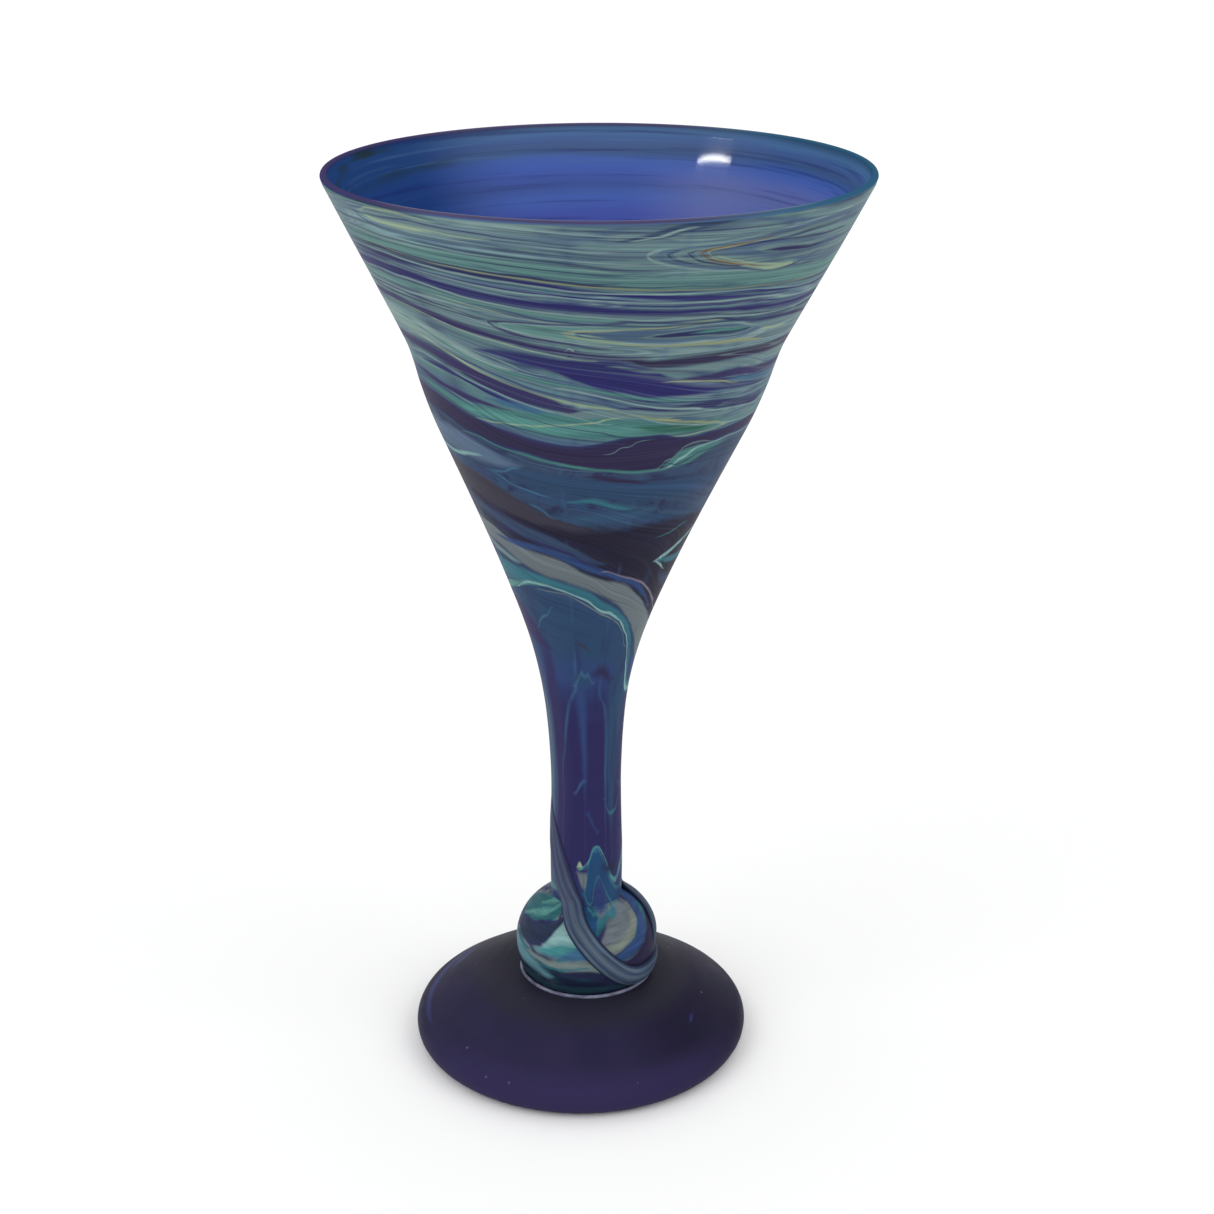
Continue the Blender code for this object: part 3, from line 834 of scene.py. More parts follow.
    (srgb(80, 100, 124), 1.4, [
        (-95, 147, 0.5), (-75, 148.5, 2.4), (-55, 148.2, 2.6), (-40, 146.6, 1.8), (-28, 145.6, 0.2),
    ]),
    (PALE_TEAL, 0.5, [
        (-85, 144, 0.1), (-72, 144.6, 0.3), (-58, 145.1, 0.4), (-48, 146, 0.3), (-43, 146.3, 0.05),
    ]),
    # the cloudy blue belt
    (PANEL, 1.6, [
        (-36, 144, 0), (-15, 142.6, 1.6), (10, 140.6, 2.2), (34, 139.4, 2.0), (60, 139, 1.4),
        (80, 139.5, 0.6),
    ]),
    (PLUM, 0.6, [(-2, 144.2, 0), (10, 143, 0.45), (22, 141.8, 0.1)]),
    (CYAN, 0.5, [(-42, 143.2, 0), (-34, 143.6, 0.25), (-28, 145, 0.15)]),
    (CYAN, 0.4, [(-40, 142.8, 0), (-32, 140.7, 0.22), (-24, 139.6, 0.2), (-17, 138.7, 0.05)]),
    (srgb(50, 78, 106), 1.5, [
        (-17, 134, 0), (-6, 133.4, 0.9), (6, 134, 1.1), (18, 134.3, 1.1), (28, 135.2, 0.4),
    ]),
    (TURQUOISE, 0.7, [(-9, 137.6, 0), (0, 138.2, 0.5), (10, 137, 0.5), (18, 136.2, 0.1)]),
    (CYAN, 0.4, [(-26, 136.4, 0), (-20, 135, 0.18), (-15, 133.3, 0.05)]),
    # the brown-black belt
    (BROWN, 1.2, [
        (-110, 137, 0.3), (-80, 140.4, 2.4), (-60, 139, 3.0), (-45, 137.2, 3.2), (-30, 134.7, 2.4),
        (-18, 132.2, 1.7), (-4, 130.2, 1.4), (10, 129, 1.2),
    ]),
    (DARK, 2.0, [
        (-22, 130.9, 0), (-8, 128.6, 1.6), (5, 127.2, 3.6), (20, 126.2, 5.0), (40, 124.8, 6.4),
        (60, 123, 7.4), (76, 121.6, 6.4), (104, 122, 0.5),
    ]),
    (DEEP_SLATE, 1.0, [
        (-95, 131.4, 0.4), (-70, 133.2, 1.1), (-45, 130.8, 1.5), (-30, 128.6, 1.7), (-15, 126.4, 1.5),
        (0, 123.4, 0.7), (8, 122.2, 0.1),
    ]),
    (NAVY, 0.6, [(-52, 128.9, 0), (-30, 127, 0.3), (-12, 124.9, 0.3), (4, 122.2, 0.1)]),
    (TURQUOISE, 0.4, [(36, 127, 0), (45, 127.8, 0.2), (55, 129.2, 0.1)]),
    (PALE_TEAL, 0.5, [(41, 121, 0), (48, 121.6, 0.6), (57, 123.2, 0.55), (68, 125, 0.4), (86, 126.4, 0.1)]),
    (TURQUOISE, 0.7, [
        (42, 120.8, 0), (50, 120.2, 0.6), (60, 119.8, 0.8), (76, 119.4, 0.6), (92, 119, 0.1),
    ]),
    (PALE_TEAL, 0.4, [(41, 120.8, 0), (46, 119.6, 0.25), (54, 117.6, 0.05)]),
    # the grey-lavender ribbon and the teal line under it
    all_round(LAVENDER, 0.9, [
        (-110, 122.4, 0.3), (-82, 126.2, 1.8), (-60, 126.2, 2.4), (-45, 123.6, 2.4), (-30, 121.4, 2.4),
        (-15, 120.4, 2.4), (0, 117.7, 2.0), (10, 115.9, 2.2), (22, 114, 2.7), (34, 110.6, 3.2),
        (45, 107, 3.6), (58, 102.8, 4.2), (72, 98.8, 4.6), (88, 96.4, 4.2), (112, 97.6, 3.2),
    ]),
    (ROYAL, 0.7, [
        (-56, 125.9, 0.1), (-45, 125.6, 0.5), (-30, 125, 0.8), (-15, 124, 0.8), (0, 121.5, 0.7),
        (15, 118.9, 0.6), (30, 116.3, 0.7), (45, 112.4, 0.4), (58, 108.6, 0.1),
    ]),
    (ROSE_GREY, 0.4, [
        (8, 120.2, 0.05), (18, 119, 0.18), (30, 117.2, 0.22), (45, 114.1, 0.25), (60, 109.6, 0.2),
        (74, 106.4, 0.05),
    ]),
    (SAGE, 0.8, [(-96, 120, 0.1), (-76, 122.6, 1.0), (-58, 121.8, 0.8), (-44, 120.4, 0.3)]),
    all_round(TURQUOISE, 0.9, [
        (-110, 114, 0.3), (-80, 116.8, 2.2), (-60, 117.2, 2.2), (-45, 117.4, 1.5), (-30, 117.2, 1.1),
        (-15, 116.2, 1.1), (0, 113.9, 1.2), (10, 111.4, 1.0), (20, 109.6, 0.9), (32, 106.4, 0.9),
        (45, 100.8, 1.0), (54, 94.6, 1.4), (61, 89, 1.6), (70, 87.4, 1.4), (88, 88.6, 1.0),
    ]),
    (BRIGHT_TEAL, 0.7, [
        (-86, 111.4, 0.3), (-66, 113.2, 0.9), (-50, 115, 0.5), (-36, 115.8, 0.4), (-26, 116, 0.1),
    ]),
    (PALE_TEAL, 0.35, [
        (-58, 113.4, 0.05), (-45, 115.4, 0.2), (-30, 115.8, 0.2), (-15, 115.1, 0.2), (0, 112.7, 0.2),
        (10, 110.1, 0.22), (20, 108.8, 0.25), (32, 105.2, 0.3), (45, 98.8, 0.4), (54, 92.4, 0.7),
        (62, 88, 0.8), (72, 87, 0.4), (84, 88, 0.05),
    ]),
    (LAVENDER, 0.3, [
        (-36, 114.4, 0), (-20, 114.5, 0.12), (-5, 112.7, 0.15), (8, 109.9, 0.15), (20, 107.8, 0.18),
        (32, 104.2, 0.15), (42, 99.2, 0.05),
    ]),
    # inside the arch
    (PURPLE, 1.6, [
        (-115, 105, 0.5), (-88, 106, 4.0), (-68, 105, 4.6), (-54, 102.4, 3.6), (-44, 100, 1.2),
        (-36, 99, 0),
    ]),
    (CYAN, 0.5, [
        (-48, 103.6, 0), (-42, 105.8, 0.25), (-37, 107.2, 0.35), (-31, 108.4, 0.15), (-26, 110.4, 0.05),
    ]),
    (PANEL, 2.6, [(-42, 101, 0), (-24, 103, 3.2), (-6, 103.4, 3.6), (14, 101.6, 2.8), (32, 96.5, 0.6)]),
    (BROWN, 0.7, [(-10, 101.2, 0), (-5, 101.2, 0.3), (0, 100.5, 0.4), (3, 99.8, 0.05)]),
    (PLUM, 2.8, [(9, 93.6, 0), (16, 94, 1.2), (23, 93.4, 1.4), (32, 91.4, 0)]),
    (PANEL, 2.4, [(-18, 92, 0), (-9, 92.6, 1.6), (0, 92.4, 1.8), (7, 91.4, 0.6)]),
    (srgb(66, 104, 130), 1.6, [
        (-14, 90.4, -0.2), (-9, 91.6, 0.1), (-4, 93.8, 0.2), (0, 93, 0.1), (4, 93.4, 0.1), (9, 91, -0.2),
    ]),
]

# Long filaments: colour, height at the front, first and last angle, half-width
FILAMENTS = [
    (NAVY, 197.4, -28, 58, 0.11), (PALE_SAGE, 196.6, -46, 12, 0.14), (DEEP_SLATE, 195.6, -20, 8, 0.12),
    (INDIGO, 194.1, -66, -4, 0.12), (PALE_SAGE, 192.9, -62, 2, 0.13), (DEEP_SLATE, 191.7, -84, 6, 0.18),
    (PALE_SAGE, 190.9, -40, 8, 0.14), (NAVY, 189.7, -76, 4, 0.1), (PALE_GREEN, 189.1, -58, 6, 0.1),
    (DEEP_SLATE, 188.3, -36, 14, 0.14), (PALE_SAGE, 187.2, -14, 84, 0.13), (NAVY, 186.3, -64, 34, 0.12),
    (DEEP_SLATE, 185.7, 0, 86, 0.16), (PALE_SAGE, 184.7, -82, 62, 0.15), (DEEP_SLATE, 184.1, -30, 90, 0.14),
    (PALE_SAGE, 182.9, -52, 88, 0.13), (INDIGO, 182.3, -20, 70, 0.16), (PALE_SAGE, 179.6, -88, 84, 0.15),
    (NAVY, 179.1, -70, 56, 0.12), (DEEP_SLATE, 178.3, -30, 88, 0.15), (PALE_GREEN, 177.7, -68, -8, 0.1),
    (NAVY, 175.1, -84, -28, 0.16), (PALE_SAGE, 174.1, -86, -16, 0.14), (PALE_SAGE, 171.7, 4, 88, 0.13),
    (NAVY, 170.9, -44, 10, 0.13), (PALE_GREEN, 170.1, -64, 0, 0.1), (INDIGO, 166.2, 22, 84, 0.16),
    (PALE_SAGE, 165.1, -78, -14, 0.13), (NAVY, 163.4, -20, 82, 0.15), (PALE_SAGE, 162.4, -12, 84, 0.16),
    (INDIGO, 161.1, -54, 24, 0.14), (PALE_SAGE, 159.9, 6, 84, 0.13), (DEEP_SLATE, 157.9, -70, -8, 0.14),
    (PALE_SAGE, 157.2, -74, 6, 0.12), (DEEP_SLATE, 155.9, -30, 30, 0.1), (NAVY, 154.3, -24, 34, 0.1),
    (PALE_TEAL, 153.3, -58, 12, 0.08), (DEEP_SLATE, 152.2, -40, 10, 0.12), (SLATE, 145.4, -30, 30, 0.12),
]

# Streaks down the stem: colour, softness, (height, angle, half-width) points, with widths in degrees
STEM_STREAKS = [
    (PURPLE, 14, [(42, -52, 16), (60, -46, 20), (74, -42, 14), (92, -46, 6)]),
    (SLATE, 12, [(40, -78, 6), (58, -68, 12), (74, -66, 10), (90, -66, 5)]),
    (PANEL, 10, [(61, 46, 6), (70, 50, 14), (82, 50, 17), (92, 46, 12), (98, 40, 4)]),
    (STEM_BLUE, 7, [(70, -1, 3), (78, -3, 5), (86, -5, 6), (91, -6, 6)]),
    (STEM_LINE, 6, [(69, -39, -1), (74, -34, 0), (80, -29, 0.8), (86, -21, 1), (91, -11, 0.8)]),
    (STEM_LINE, 6, [(63, 34, 0), (70, 34, 0.8), (78, 33, 0.8), (84, 28, 0.4), (89, 18, -1)]),
]

# Streaks round the foot of the stem, with (angle, height, half-width) points
LOW_STREAKS = [
    (STEM_LINE, 1.4, [(-18, 63.6, 0), (-10, 65.4, 0.3), (-2, 66.6, 0)]),
    (STEM_BLUE, 1.8, [(2, 58.8, 0), (10, 57, 0.5), (20, 54, 0)]),
    (TURQUOISE, 0.7, [(32, 62, 0), (38, 59.2, 0.2), (46, 58.1, 0.35), (56, 58.4, 0.25), (68, 61, 0)]),
    (PANEL, 1.6, [(54, 66, 0), (66, 64, 0.5), (84, 64, 0.2)]),
    (LAVENDER, 2.0, [(-120, 47, 0.5), (-88, 48.6, 2.4), (-64, 47, 2.2), (-44, 43.4, 2.0), (-30, 40, 1.4)]),
    (SLATE, 1.6, [(-110, 42, 0.5), (-86, 42.4, 2.2), (-60, 40.4, 2.2), (-40, 38, 1.2)]),
    (BRIGHT_TEAL, 1.0, [(-120, 38.4, 0.4), (-90, 38.4, 1.0), (-60, 38.4, 0.5)]),
    (LAVENDER, 1.2, [(-15, 44.4, 0), (-9, 43, 1.2), (-3, 42.2, 2.0), (3, 42.6, 1.6), (8, 43, 0.2)]),
    (FLAME, 1.4, [
        (-1, 39, 1), (4, 41, 4.6), (9, 43, 6.4), (14, 45.6, 4.6), (20, 46.6, 3.4), (28, 44.6, 3.2),
        (36, 41.2, 2.6), (46, 38.4, 2.4), (60, 37, 1.6), (84, 37, 1.2),
    ], (TURQUOISE, 0.7)),
    (srgb(54, 104, 134), 1.0, [
        (-2, 45.4, 0), (3, 46.2, 0.4), (8, 48.4, 0.5), (13, 49.8, 0.3), (18, 49.4, 0),
    ]),
    (ROYAL, 1.6, [(15, 40.4, 0), (20, 41.8, 1.0), (26, 41, 1.2), (34, 38.6, 0)]),
    (PALE_GREEN, 0.6, [(-15, 45.7, 0), (-12, 46.2, 0.6), (-9, 46.4, 0.8), (-5, 45.7, 0.2)]),
    (srgb(76, 128, 132), 0.4, [
        (-14, 45.2, 0), (-7, 45.4, 0.3), (0, 46.4, 0.25), (6, 47.6, 0.3), (11, 49.6, 0.25), (17, 50.6, 0.2),
        (26, 49.6, 0.25), (34, 46.4, 0.4), (44, 42.4, 0.6), (54, 41, 0.7), (68, 43.6, 1.2), (84, 46, 1.6),
    ]),
    (srgb(38, 42, 66), 2.2, [(28, 45.4, 0), (37, 44.6, 1.0), (48, 44.8, 1.2), (57, 44.6, 0)]),
]

HEIGHT_STEPS = sorted(DRIFT)
FLOW_START = 92  # height below which nothing drifts
FILAMENT_ENDS = (0.2, 0.7, 1, 1, 1, 0.7, 0.2)  # a filament's width along its length


def drift_at(angle, level):
    """How far a streak that passes the front at this height has risen at this angle, in mm."""
    rises = [smooth_line(DRIFT[step])(angle) for step in HEIGHT_STEPS]
    return smooth_line(list(zip(HEIGHT_STEPS, rises)))(level)


def filament(colour, level, start, end, half):
    """A long thin streak that goes with the flow between two angles, and thins out at both ends."""
    angles = spaced(start, end, len(FILAMENT_ENDS) - 1)
    route = [(a, level + drift_at(a, level), half * share) for a, share in zip(angles, FILAMENT_ENDS)]
    return colour, 0.3, route


def flow(glass):
    """The height at which the streak through each point crosses the front."""
    drifts = [glass.curve(glass.angle, ALL_ROUND, DRIFT[level]) for level in HEIGHT_STEPS]
    total = glass.math("MULTIPLY", drifts[0], glass.span(glass.height, FLOW_START, HEIGHT_STEPS[0]))
    for low, high, before, after in zip(HEIGHT_STEPS, HEIGHT_STEPS[1:], drifts, drifts[1:]):
        share = glass.span(glass.height, low, high)
        change = glass.math("SUBTRACT", after, before)
        total = glass.math("MULTIPLY_ADD", change, share, total)
    return glass.math("SUBTRACT", glass.height, total)


def by_height(glass, height, stops):
    """A ramp of colours by height in mm."""
    return glass.ramp(glass.math("DIVIDE", height, HEIGHT), [(at / HEIGHT, colour) for at, colour in stops])


# Heights in mm between which one zone of the casing gives way to the next
BOWL_START = (100, 118)
SHOULDER = (152, 160)
BELT_LOW, BELT_HIGH = (130, 134), (149, 144)
BEHIND = (72, 98)  # degrees from the front between which the pattern of the back begins

# Colours across one thread of the upper bowl's marbling
THREADS = [
    (0.0, DEEP_SLATE), (0.14, SLATE), (0.32, SAGE), (0.5, MINT), (0.64, SAGE), (0.78, SLATE),
    (0.9, PALE_SAGE), (1.0, SLATE),
]

# Lines where a noise has one value: that value, the line's half-width, its core, its share and its colour
LEVEL_LINES = [(0.5, 0.02, 0.005, 0.4, DEEP_SLATE), (0.57, 0.016, 0.004, 0.34, PALE_SAGE)]


def wavering(glass, level, on_bowl):
    """The angle and height at which streaks are laid, which waver a little, as hand-drawn glass does."""
    waver = glass.noise(glass.round_it(level, 1.8, 0.2), detail=2)
    fine_waver = glass.noise(glass.round_it(level, 5, 0.7), detail=2)
    centred = glass.math("SUBTRACT", waver, 0.5)
    slow = glass.math("MULTIPLY", centred, glass.math("MULTIPLY_ADD", on_bowl, 0.9, 0.9))
    quick = glass.math("MULTIPLY", glass.math("SUBTRACT", fine_waver, 0.5), 0.5)
    drawn = glass.math("ADD", glass.height, glass.math("ADD", slow, quick))
    return glass.shifted(glass.angle, waver, 2.5), drawn


def cloudy_belt(glass, colour, level, cloud):
    in_belt = glass.math("MULTIPLY", glass.span(level, *BELT_LOW), glass.span(level, *BELT_HIGH))
    colour = glass.tint(colour, srgb(54, 74, 100), glass.span(cloud, 0.52, 0.74), in_belt)
    return glass.tint(colour, srgb(40, 44, 74), glass.span(cloud, 0.5, 0.32), in_belt)


def chance_bands(glass, colour, level, on_bowl):
    """Dark and slate bands behind the glass, where nothing is known of the real ones."""
    behind = glass.span(glass.math("ABSOLUTE", glass.angle), *BEHIND)
    band = glass.noise(glass.round_it(level, 0.5, 0.17), detail=3, roughness=0.4)
    share = glass.math("MULTIPLY", behind, glass.math("MULTIPLY", on_bowl, 0.8))
    colour = glass.tint(colour, PURPLE, glass.span(band, 0.53, 0.6), share)
    return glass.tint(colour, SLATE, glass.span(band, 0.43, 0.37), share)


def fine_hair(glass, colour, hair, upper, on_bowl):
    """Fine lighter and darker lines that lie over every streak of the bowl."""
    share = glass.math("MULTIPLY", on_bowl, glass.math("MULTIPLY_ADD", upper, 0.2, 0.03))
    colour = glass.tint(colour, PALE_SAGE, glass.span(hair, 0.54, 0.7), share)
    share = glass.math("MULTIPLY", on_bowl, 0.4)
    return glass.tint(colour, NAVY, glass.span(hair, 0.46, 0.3), share)


def casing_glass():
    glass = Glass("marbled_glass")
    level = flow(glass)
    on_bowl = glass.span(glass.height, *BOWL_START)
    place = wavering(glass, level, on_bowl)

    # threads: level lines of a stretched noise, which close into hairpins by themselves
    field = glass.noise(glass.round_it(level, 0.6, 0.17), detail=2, roughness=0.4)
    thread = glass.math("PINGPONG", glass.math("MULTIPLY", field, 9), 1)
    hair = glass.noise(glass.round_it(level, 0.35, 1.1), detail=2, roughness=0.7)
    hair_fine = glass.noise(glass.round_it(level, 0.5, 3.2), detail=1, roughness=0.6)
    lines = glass.noise(glass.round_it(level, 0.5, 0.75), detail=2, roughness=0.5)
    cloud = glass.noise(glass.round_it(glass.height, 5, 0.22), detail=4, roughness=0.6, distortion=0.8)
    upright_hair = glass.noise(glass.round_it(glass.height, 5, 0.05), detail=3)

    colour = by_height(glass, glass.shifted(level, field, 7), GROUND)
    threads = glass.ramp(thread, THREADS)
    upper = glass.span(level, *SHOULDER)
    colour = glass.tint(colour, threads, upper, 0.6)
    colour = cloudy_belt(glass, colour, level, cloud)
    colour = chance_bands(glass, colour, level, on_bowl)

    filaments = [filament(*values) for values in FILAMENTS]
    colour = glass.strokes(colour, STEM_STREAKS, upright=True, place=place)
    streaks = [*filaments[::2], *BOWL_STREAKS, *LOW_STREAKS, *filaments[1::2]]
    colour = glass.strokes(colour, streaks, place=place)

    colour = fine_hair(glass, colour, hair, upper, on_bowl)
    for middle, width, core, amount, line in LEVEL_LINES:
        gap = glass.math("ABSOLUTE", glass.math("SUBTRACT", lines, middle))
        colour = glass.tint(colour, line, glass.span(gap, width, core), glass.math("MULTIPLY", upper, amount))
    on_stem = glass.math("MULTIPLY", glass.span(upright_hair, 0.52, 0.36), glass.span(glass.height, 108, 96))
    colour = glass.tint(colour, STEM_PLUM, on_stem, 0.45)
    strength = glass.math("SUBTRACT", hair_fine, 0.5)
    fineness = glass.math("MULTIPLY", strength, glass.span(glass.height, 98, 116, 0.12, 0.8))
    glass.set(Base_Color=glass.lit(colour, glass.math("ADD", fineness, 0.97)))
    satin(glass)
    return glass.material


GRAIN_SCALE, SOFT_SCALE = 2600, 160  # how often per metre the etched skin changes, finely and slowly
GRAIN_DEPTH = 0.00006  # metres
SATIN_SHINE = 0.05


def satin(glass, roughness=0.5):
    """The etched skin: fine grain, soft unevenness, and a low shine."""
    texture = glass.tree.nodes.new("ShaderNodeTexCoord").outputs["Object"]
    grain = glass.noise(texture, scale=GRAIN_SCALE, detail=2, roughness=0.6)
    soft = glass.noise(texture, scale=SOFT_SCALE, detail=3)
    slow = glass.math("MULTIPLY_ADD", soft, 0.16, roughness - 0.14)
    spread = glass.math("MULTIPLY_ADD", grain, 0.12, slow)
    surface = glass.math("MULTIPLY_ADD", soft, 3.0, grain)
    glass.set(Roughness=spread, Normal=glass.bump(surface, 0.25, GRAIN_DEPTH), Specular_IOR_Level=SATIN_SHINE)


# ---------------------------------------------------------------- the lining
# The inside's colours by height in mm, darker deep down in the hollow as painted shade. Near the rim they
# follow the streaks of the casing behind.
LINING_COLOURS = [
    (56, srgb(18, 18, 60)), (110, srgb(26, 30, 96)), (150, srgb(40, 46, 132)), (172, srgb(58, 68, 156)),
    (181, srgb(66, 84, 170)), (184, srgb(66, 98, 178)), (186.4, srgb(58, 82, 150)), (188, srgb(64, 88, 166)),
    (190.4, srgb(64, 94, 176)), (192.2, srgb(66, 98, 168)), (193.2, srgb(60, 86, 130)),
    (194.4, srgb(66, 92, 136)), (195.6, srgb(66, 92, 146)), (197.2, srgb(74, 112, 156)),
    (199, srgb(58, 88, 120)),
]
LIP_LEFT, LIP_RIGHT = srgb(62, 58, 96), srgb(46, 88, 116)


def inside_colour(glass, hair, level):
    """Cobalt, darker and greener on the left as painted shade, paler low on the right as painted light, with
    faint streaks and a dark patch.
    """
    colour = by_height(glass, level, LINING_COLOURS)
    # painted shade: the left side of the inside darker and greener
    colour = glass.tint(colour, srgb(28, 60, 114), glass.span(glass.side, -0.3, -0.85), 0.85)
    # painted light: the right side of the inside paler below 193 mm
    right = glass.math("MULTIPLY", glass.span(glass.side, 0.1, 0.6), glass.span(glass.height, 193, 187))
    colour = glass.tint(colour, srgb(108, 118, 174), right, 0.7)
    colour = glass.tint(colour, srgb(76, 112, 152), glass.span(hair, 0.54, 0.72), 0.45)
    colour = glass.tint(colour, srgb(34, 44, 104), glass.span(hair, 0.46, 0.3), 0.55)
    patch = glass.noise(glass.round_it(glass.height, 2.2, 0.3), detail=3)
    patch = glass.math("MULTIPLY", glass.span(patch, 0.5, 0.62), glass.span(glass.side, -0.5, -0.75))
    return glass.tint(colour, srgb(40, 58, 70), patch, glass.span(glass.height, 190, 195))


def lining_glass():
    """Cobalt glass with the outer streaks showing faintly through, glossy, and a satin lip."""
    glass = Glass("cobalt_glass")
    field = glass.noise(glass.round_it(glass.height, 0.8, 0.12), detail=2)
    hair = glass.noise(glass.round_it(glass.height, 0.7, 0.55), detail=3, roughness=0.6)
    colour = inside_colour(glass, hair, glass.shifted(glass.height, field, 5))
    lip = glass.mix(glass.span(glass.side, 0.2, 0.7), LIP_LEFT, LIP_RIGHT)
    on_lip = glass.span(glass.height, HEIGHT - 0.8, HEIGHT - 0.35)
    rough = glass.math("MULTIPLY_ADD", on_lip, 0.3, glass.math("MULTIPLY_ADD", hair, 0.03, 0.03))
    glass.set(Base_Color=glass.mix(on_lip, colour, lip), Roughness=rough)
    ends = glass.span(glass.math("ABSOLUTE", glass.side), 0.5, 0.78)
    glass.set(Specular_IOR_Level=glass.math("MULTIPLY_ADD", ends, -0.2, 0.2))
    return glass.material


# ---------------------------------------------------------------- the knop and its strands
KNOP_STREAKS = [
    # left: teal stripes, the plum lobe, the pale patch
    (srgb(44, 92, 100), 1.0, [(-100, 33, 1), (-75, 33.6, 2.4), (-50, 35, 2.6), (-36, 36, 2)]),
    (BRIGHT_TEAL, 0.8, [
        (-88, 30.8, 0), (-72, 32.4, 0.5), (-60, 33.4, 0.7), (-50, 34.2, 0.6), (-42, 35.4, 0.4),
    ]),
    (BRIGHT_TEAL, 0.7, [(-74, 34.4, 0), (-62, 35.2, 0.4), (-52, 35.8, 0.5), (-44, 36.6, 0.3)]),
    (srgb(40, 50, 72), 0.8, [
        (-92, 29.2, 0), (-76, 29.2, 1.4), (-60, 29.2, 2.2), (-50, 29.8, 2.5), (-40, 30.8, 2.0),
        (-30, 32.8, 1.1), (-20, 34.8, 0.9),
    ], (NAVY, 0.4)),
    (PALE_TEAL, 1.2, [
        (-44, 26.8, 0), (-36, 28.4, 1.0), (-29, 30, 2.2), (-22, 31.6, 2.4), (-14, 31.2, 2.2),
        (-6, 30.4, 1.6),
    ]),
    (srgb(62, 124, 128), 1.2, [
        (-48, 26.6, 0), (-34, 27.4, 0.9), (-20, 28.2, 1.4), (-8, 28.2, 1.6), (0, 28, 0.8),
    ]),
    (CYAN, 1.2, [(-26, 26.6, 0), (-14, 27.4, 1.0), (-4, 27.8, 1.6), (4, 27.2, 0.8)]),
    (srgb(84, 124, 134), 1.2, [
        (-96, 25, 0.6), (-76, 24.4, 2.0), (-62, 23.4, 1.8), (-46, 22.4, 1.0), (-30, 21.4, 0.3),
    ]),
    (srgb(108, 122, 122), 0.8, [
        (-58, 25, 0), (-44, 24.8, 0.5), (-30, 24.6, 0.8), (-14, 24.9, 1.2), (0, 25.2, 1.3), (12, 24.2, 0.6),
    ]),
    (TURQUOISE, 0.5, [(-50, 24.4, 0), (-34, 23.6, 0.25), (-16, 24, 0.25), (2, 24.6, 0.2)]),
    (srgb(34, 38, 66), 0.8, [
        (-24, 22.2, 0), (-12, 22.8, 0.7), (0, 22.8, 0.9), (12, 22, 1.2), (26, 21, 1.4), (50, 20.4, 1.4),
    ]),
    (srgb(30, 54, 66), 0.8, [
        (-70, 19.4, 0), (-50, 19, 0.9), (-26, 18.4, 0.6), (0, 18.8, 0.8), (30, 18.6, 0.5), (52, 18.4, 0.8),
        (72, 19, 0.6),
    ]),
    # front and right: the blue flame, the teal hook, the grey swirl, the blue ribbon
    (srgb(98, 106, 114), 1.2, [
        (8, 28, 0), (16, 29, 2.0), (26, 30.4, 3.0), (38, 31.4, 3.0), (50, 32.4, 2.8), (60, 33.4, 1.8),
        (68, 34.6, 0.4),
    ]),
    (srgb(112, 122, 114), 1.0, [
        (12, 28.2, 0), (22, 28.4, 0.8), (36, 29.2, 0.9), (50, 30.8, 1.0), (60, 32.6, 0.8),
    ]),
    (FLAME, 1.0, [
        (-8, 34, 1), (0, 33.8, 2.6), (5, 32.6, 3.0), (9, 32.6, 2.2), (13, 34.4, 0.6),
    ], (TURQUOISE, 0.5)),
    (ROYAL, 1.4, [(14, 35.6, 0.2), (22, 35.8, 0.8), (30, 36, 0.6), (36, 36.4, 0)]),
    (TURQUOISE, 0.7, [(26, 34.6, 0), (33, 34.4, 0.5), (40, 35, 0.7), (45, 36.2, 0.5)]),
    (ROYAL, 1.0, [
        (18, 25.4, 0), (30, 26.2, 0.7), (46, 27.4, 1.3), (58, 29.2, 1.7), (68, 31.8, 1.6), (76, 34, 1.4),
        (92, 35, 0.6),
    ], (FLAME, 0.5)),
    (srgb(36, 32, 60), 1.2, [
        (20, 22.8, 0), (34, 23.4, 1.4), (50, 24, 2.4), (66, 25.4, 3.4), (80, 27.4, 4.4), (100, 28, 2),
    ]),
]


SWIRL = [(0.0, PLUM), (0.25, NAVY), (0.4, srgb(36, 80, 88)), (0.6, TURQUOISE), (0.75, LAVENDER), (1.0, NAVY)]


def knop_glass():
    glass = Glass("knop_glass")
    warp = glass.noise(glass.round_it(glass.height, 1.6, 0.1), detail=3, distortion=0.6)
    waver = glass.shifted(glass.height, warp, 1.6)
    swirl = glass.noise(glass.round_it(waver, 1.0, 0.12), detail=2, roughness=0.35, distortion=0.6)
    colour = glass.ramp(glass.math("PINGPONG", glass.math("MULTIPLY", swirl, 5), 1), SWIRL)
    # painted shade: the lowest part of the ball, facing down onto the foot, made near black
    colour = glass.tint(colour, srgb(20, 29, 48), glass.span(glass.height, 26, 21), 0.85)
    colour = glass.strokes(colour, KNOP_STREAKS, place=(glass.angle, waver))
    hair = glass.noise(glass.round_it(waver, 2.5, 1.4), detail=3, roughness=0.6)
    glass.set(Base_Color=glass.lit(colour, glass.shifted(0.98, hair, 1.1)))
    satin(glass)
    return glass.material


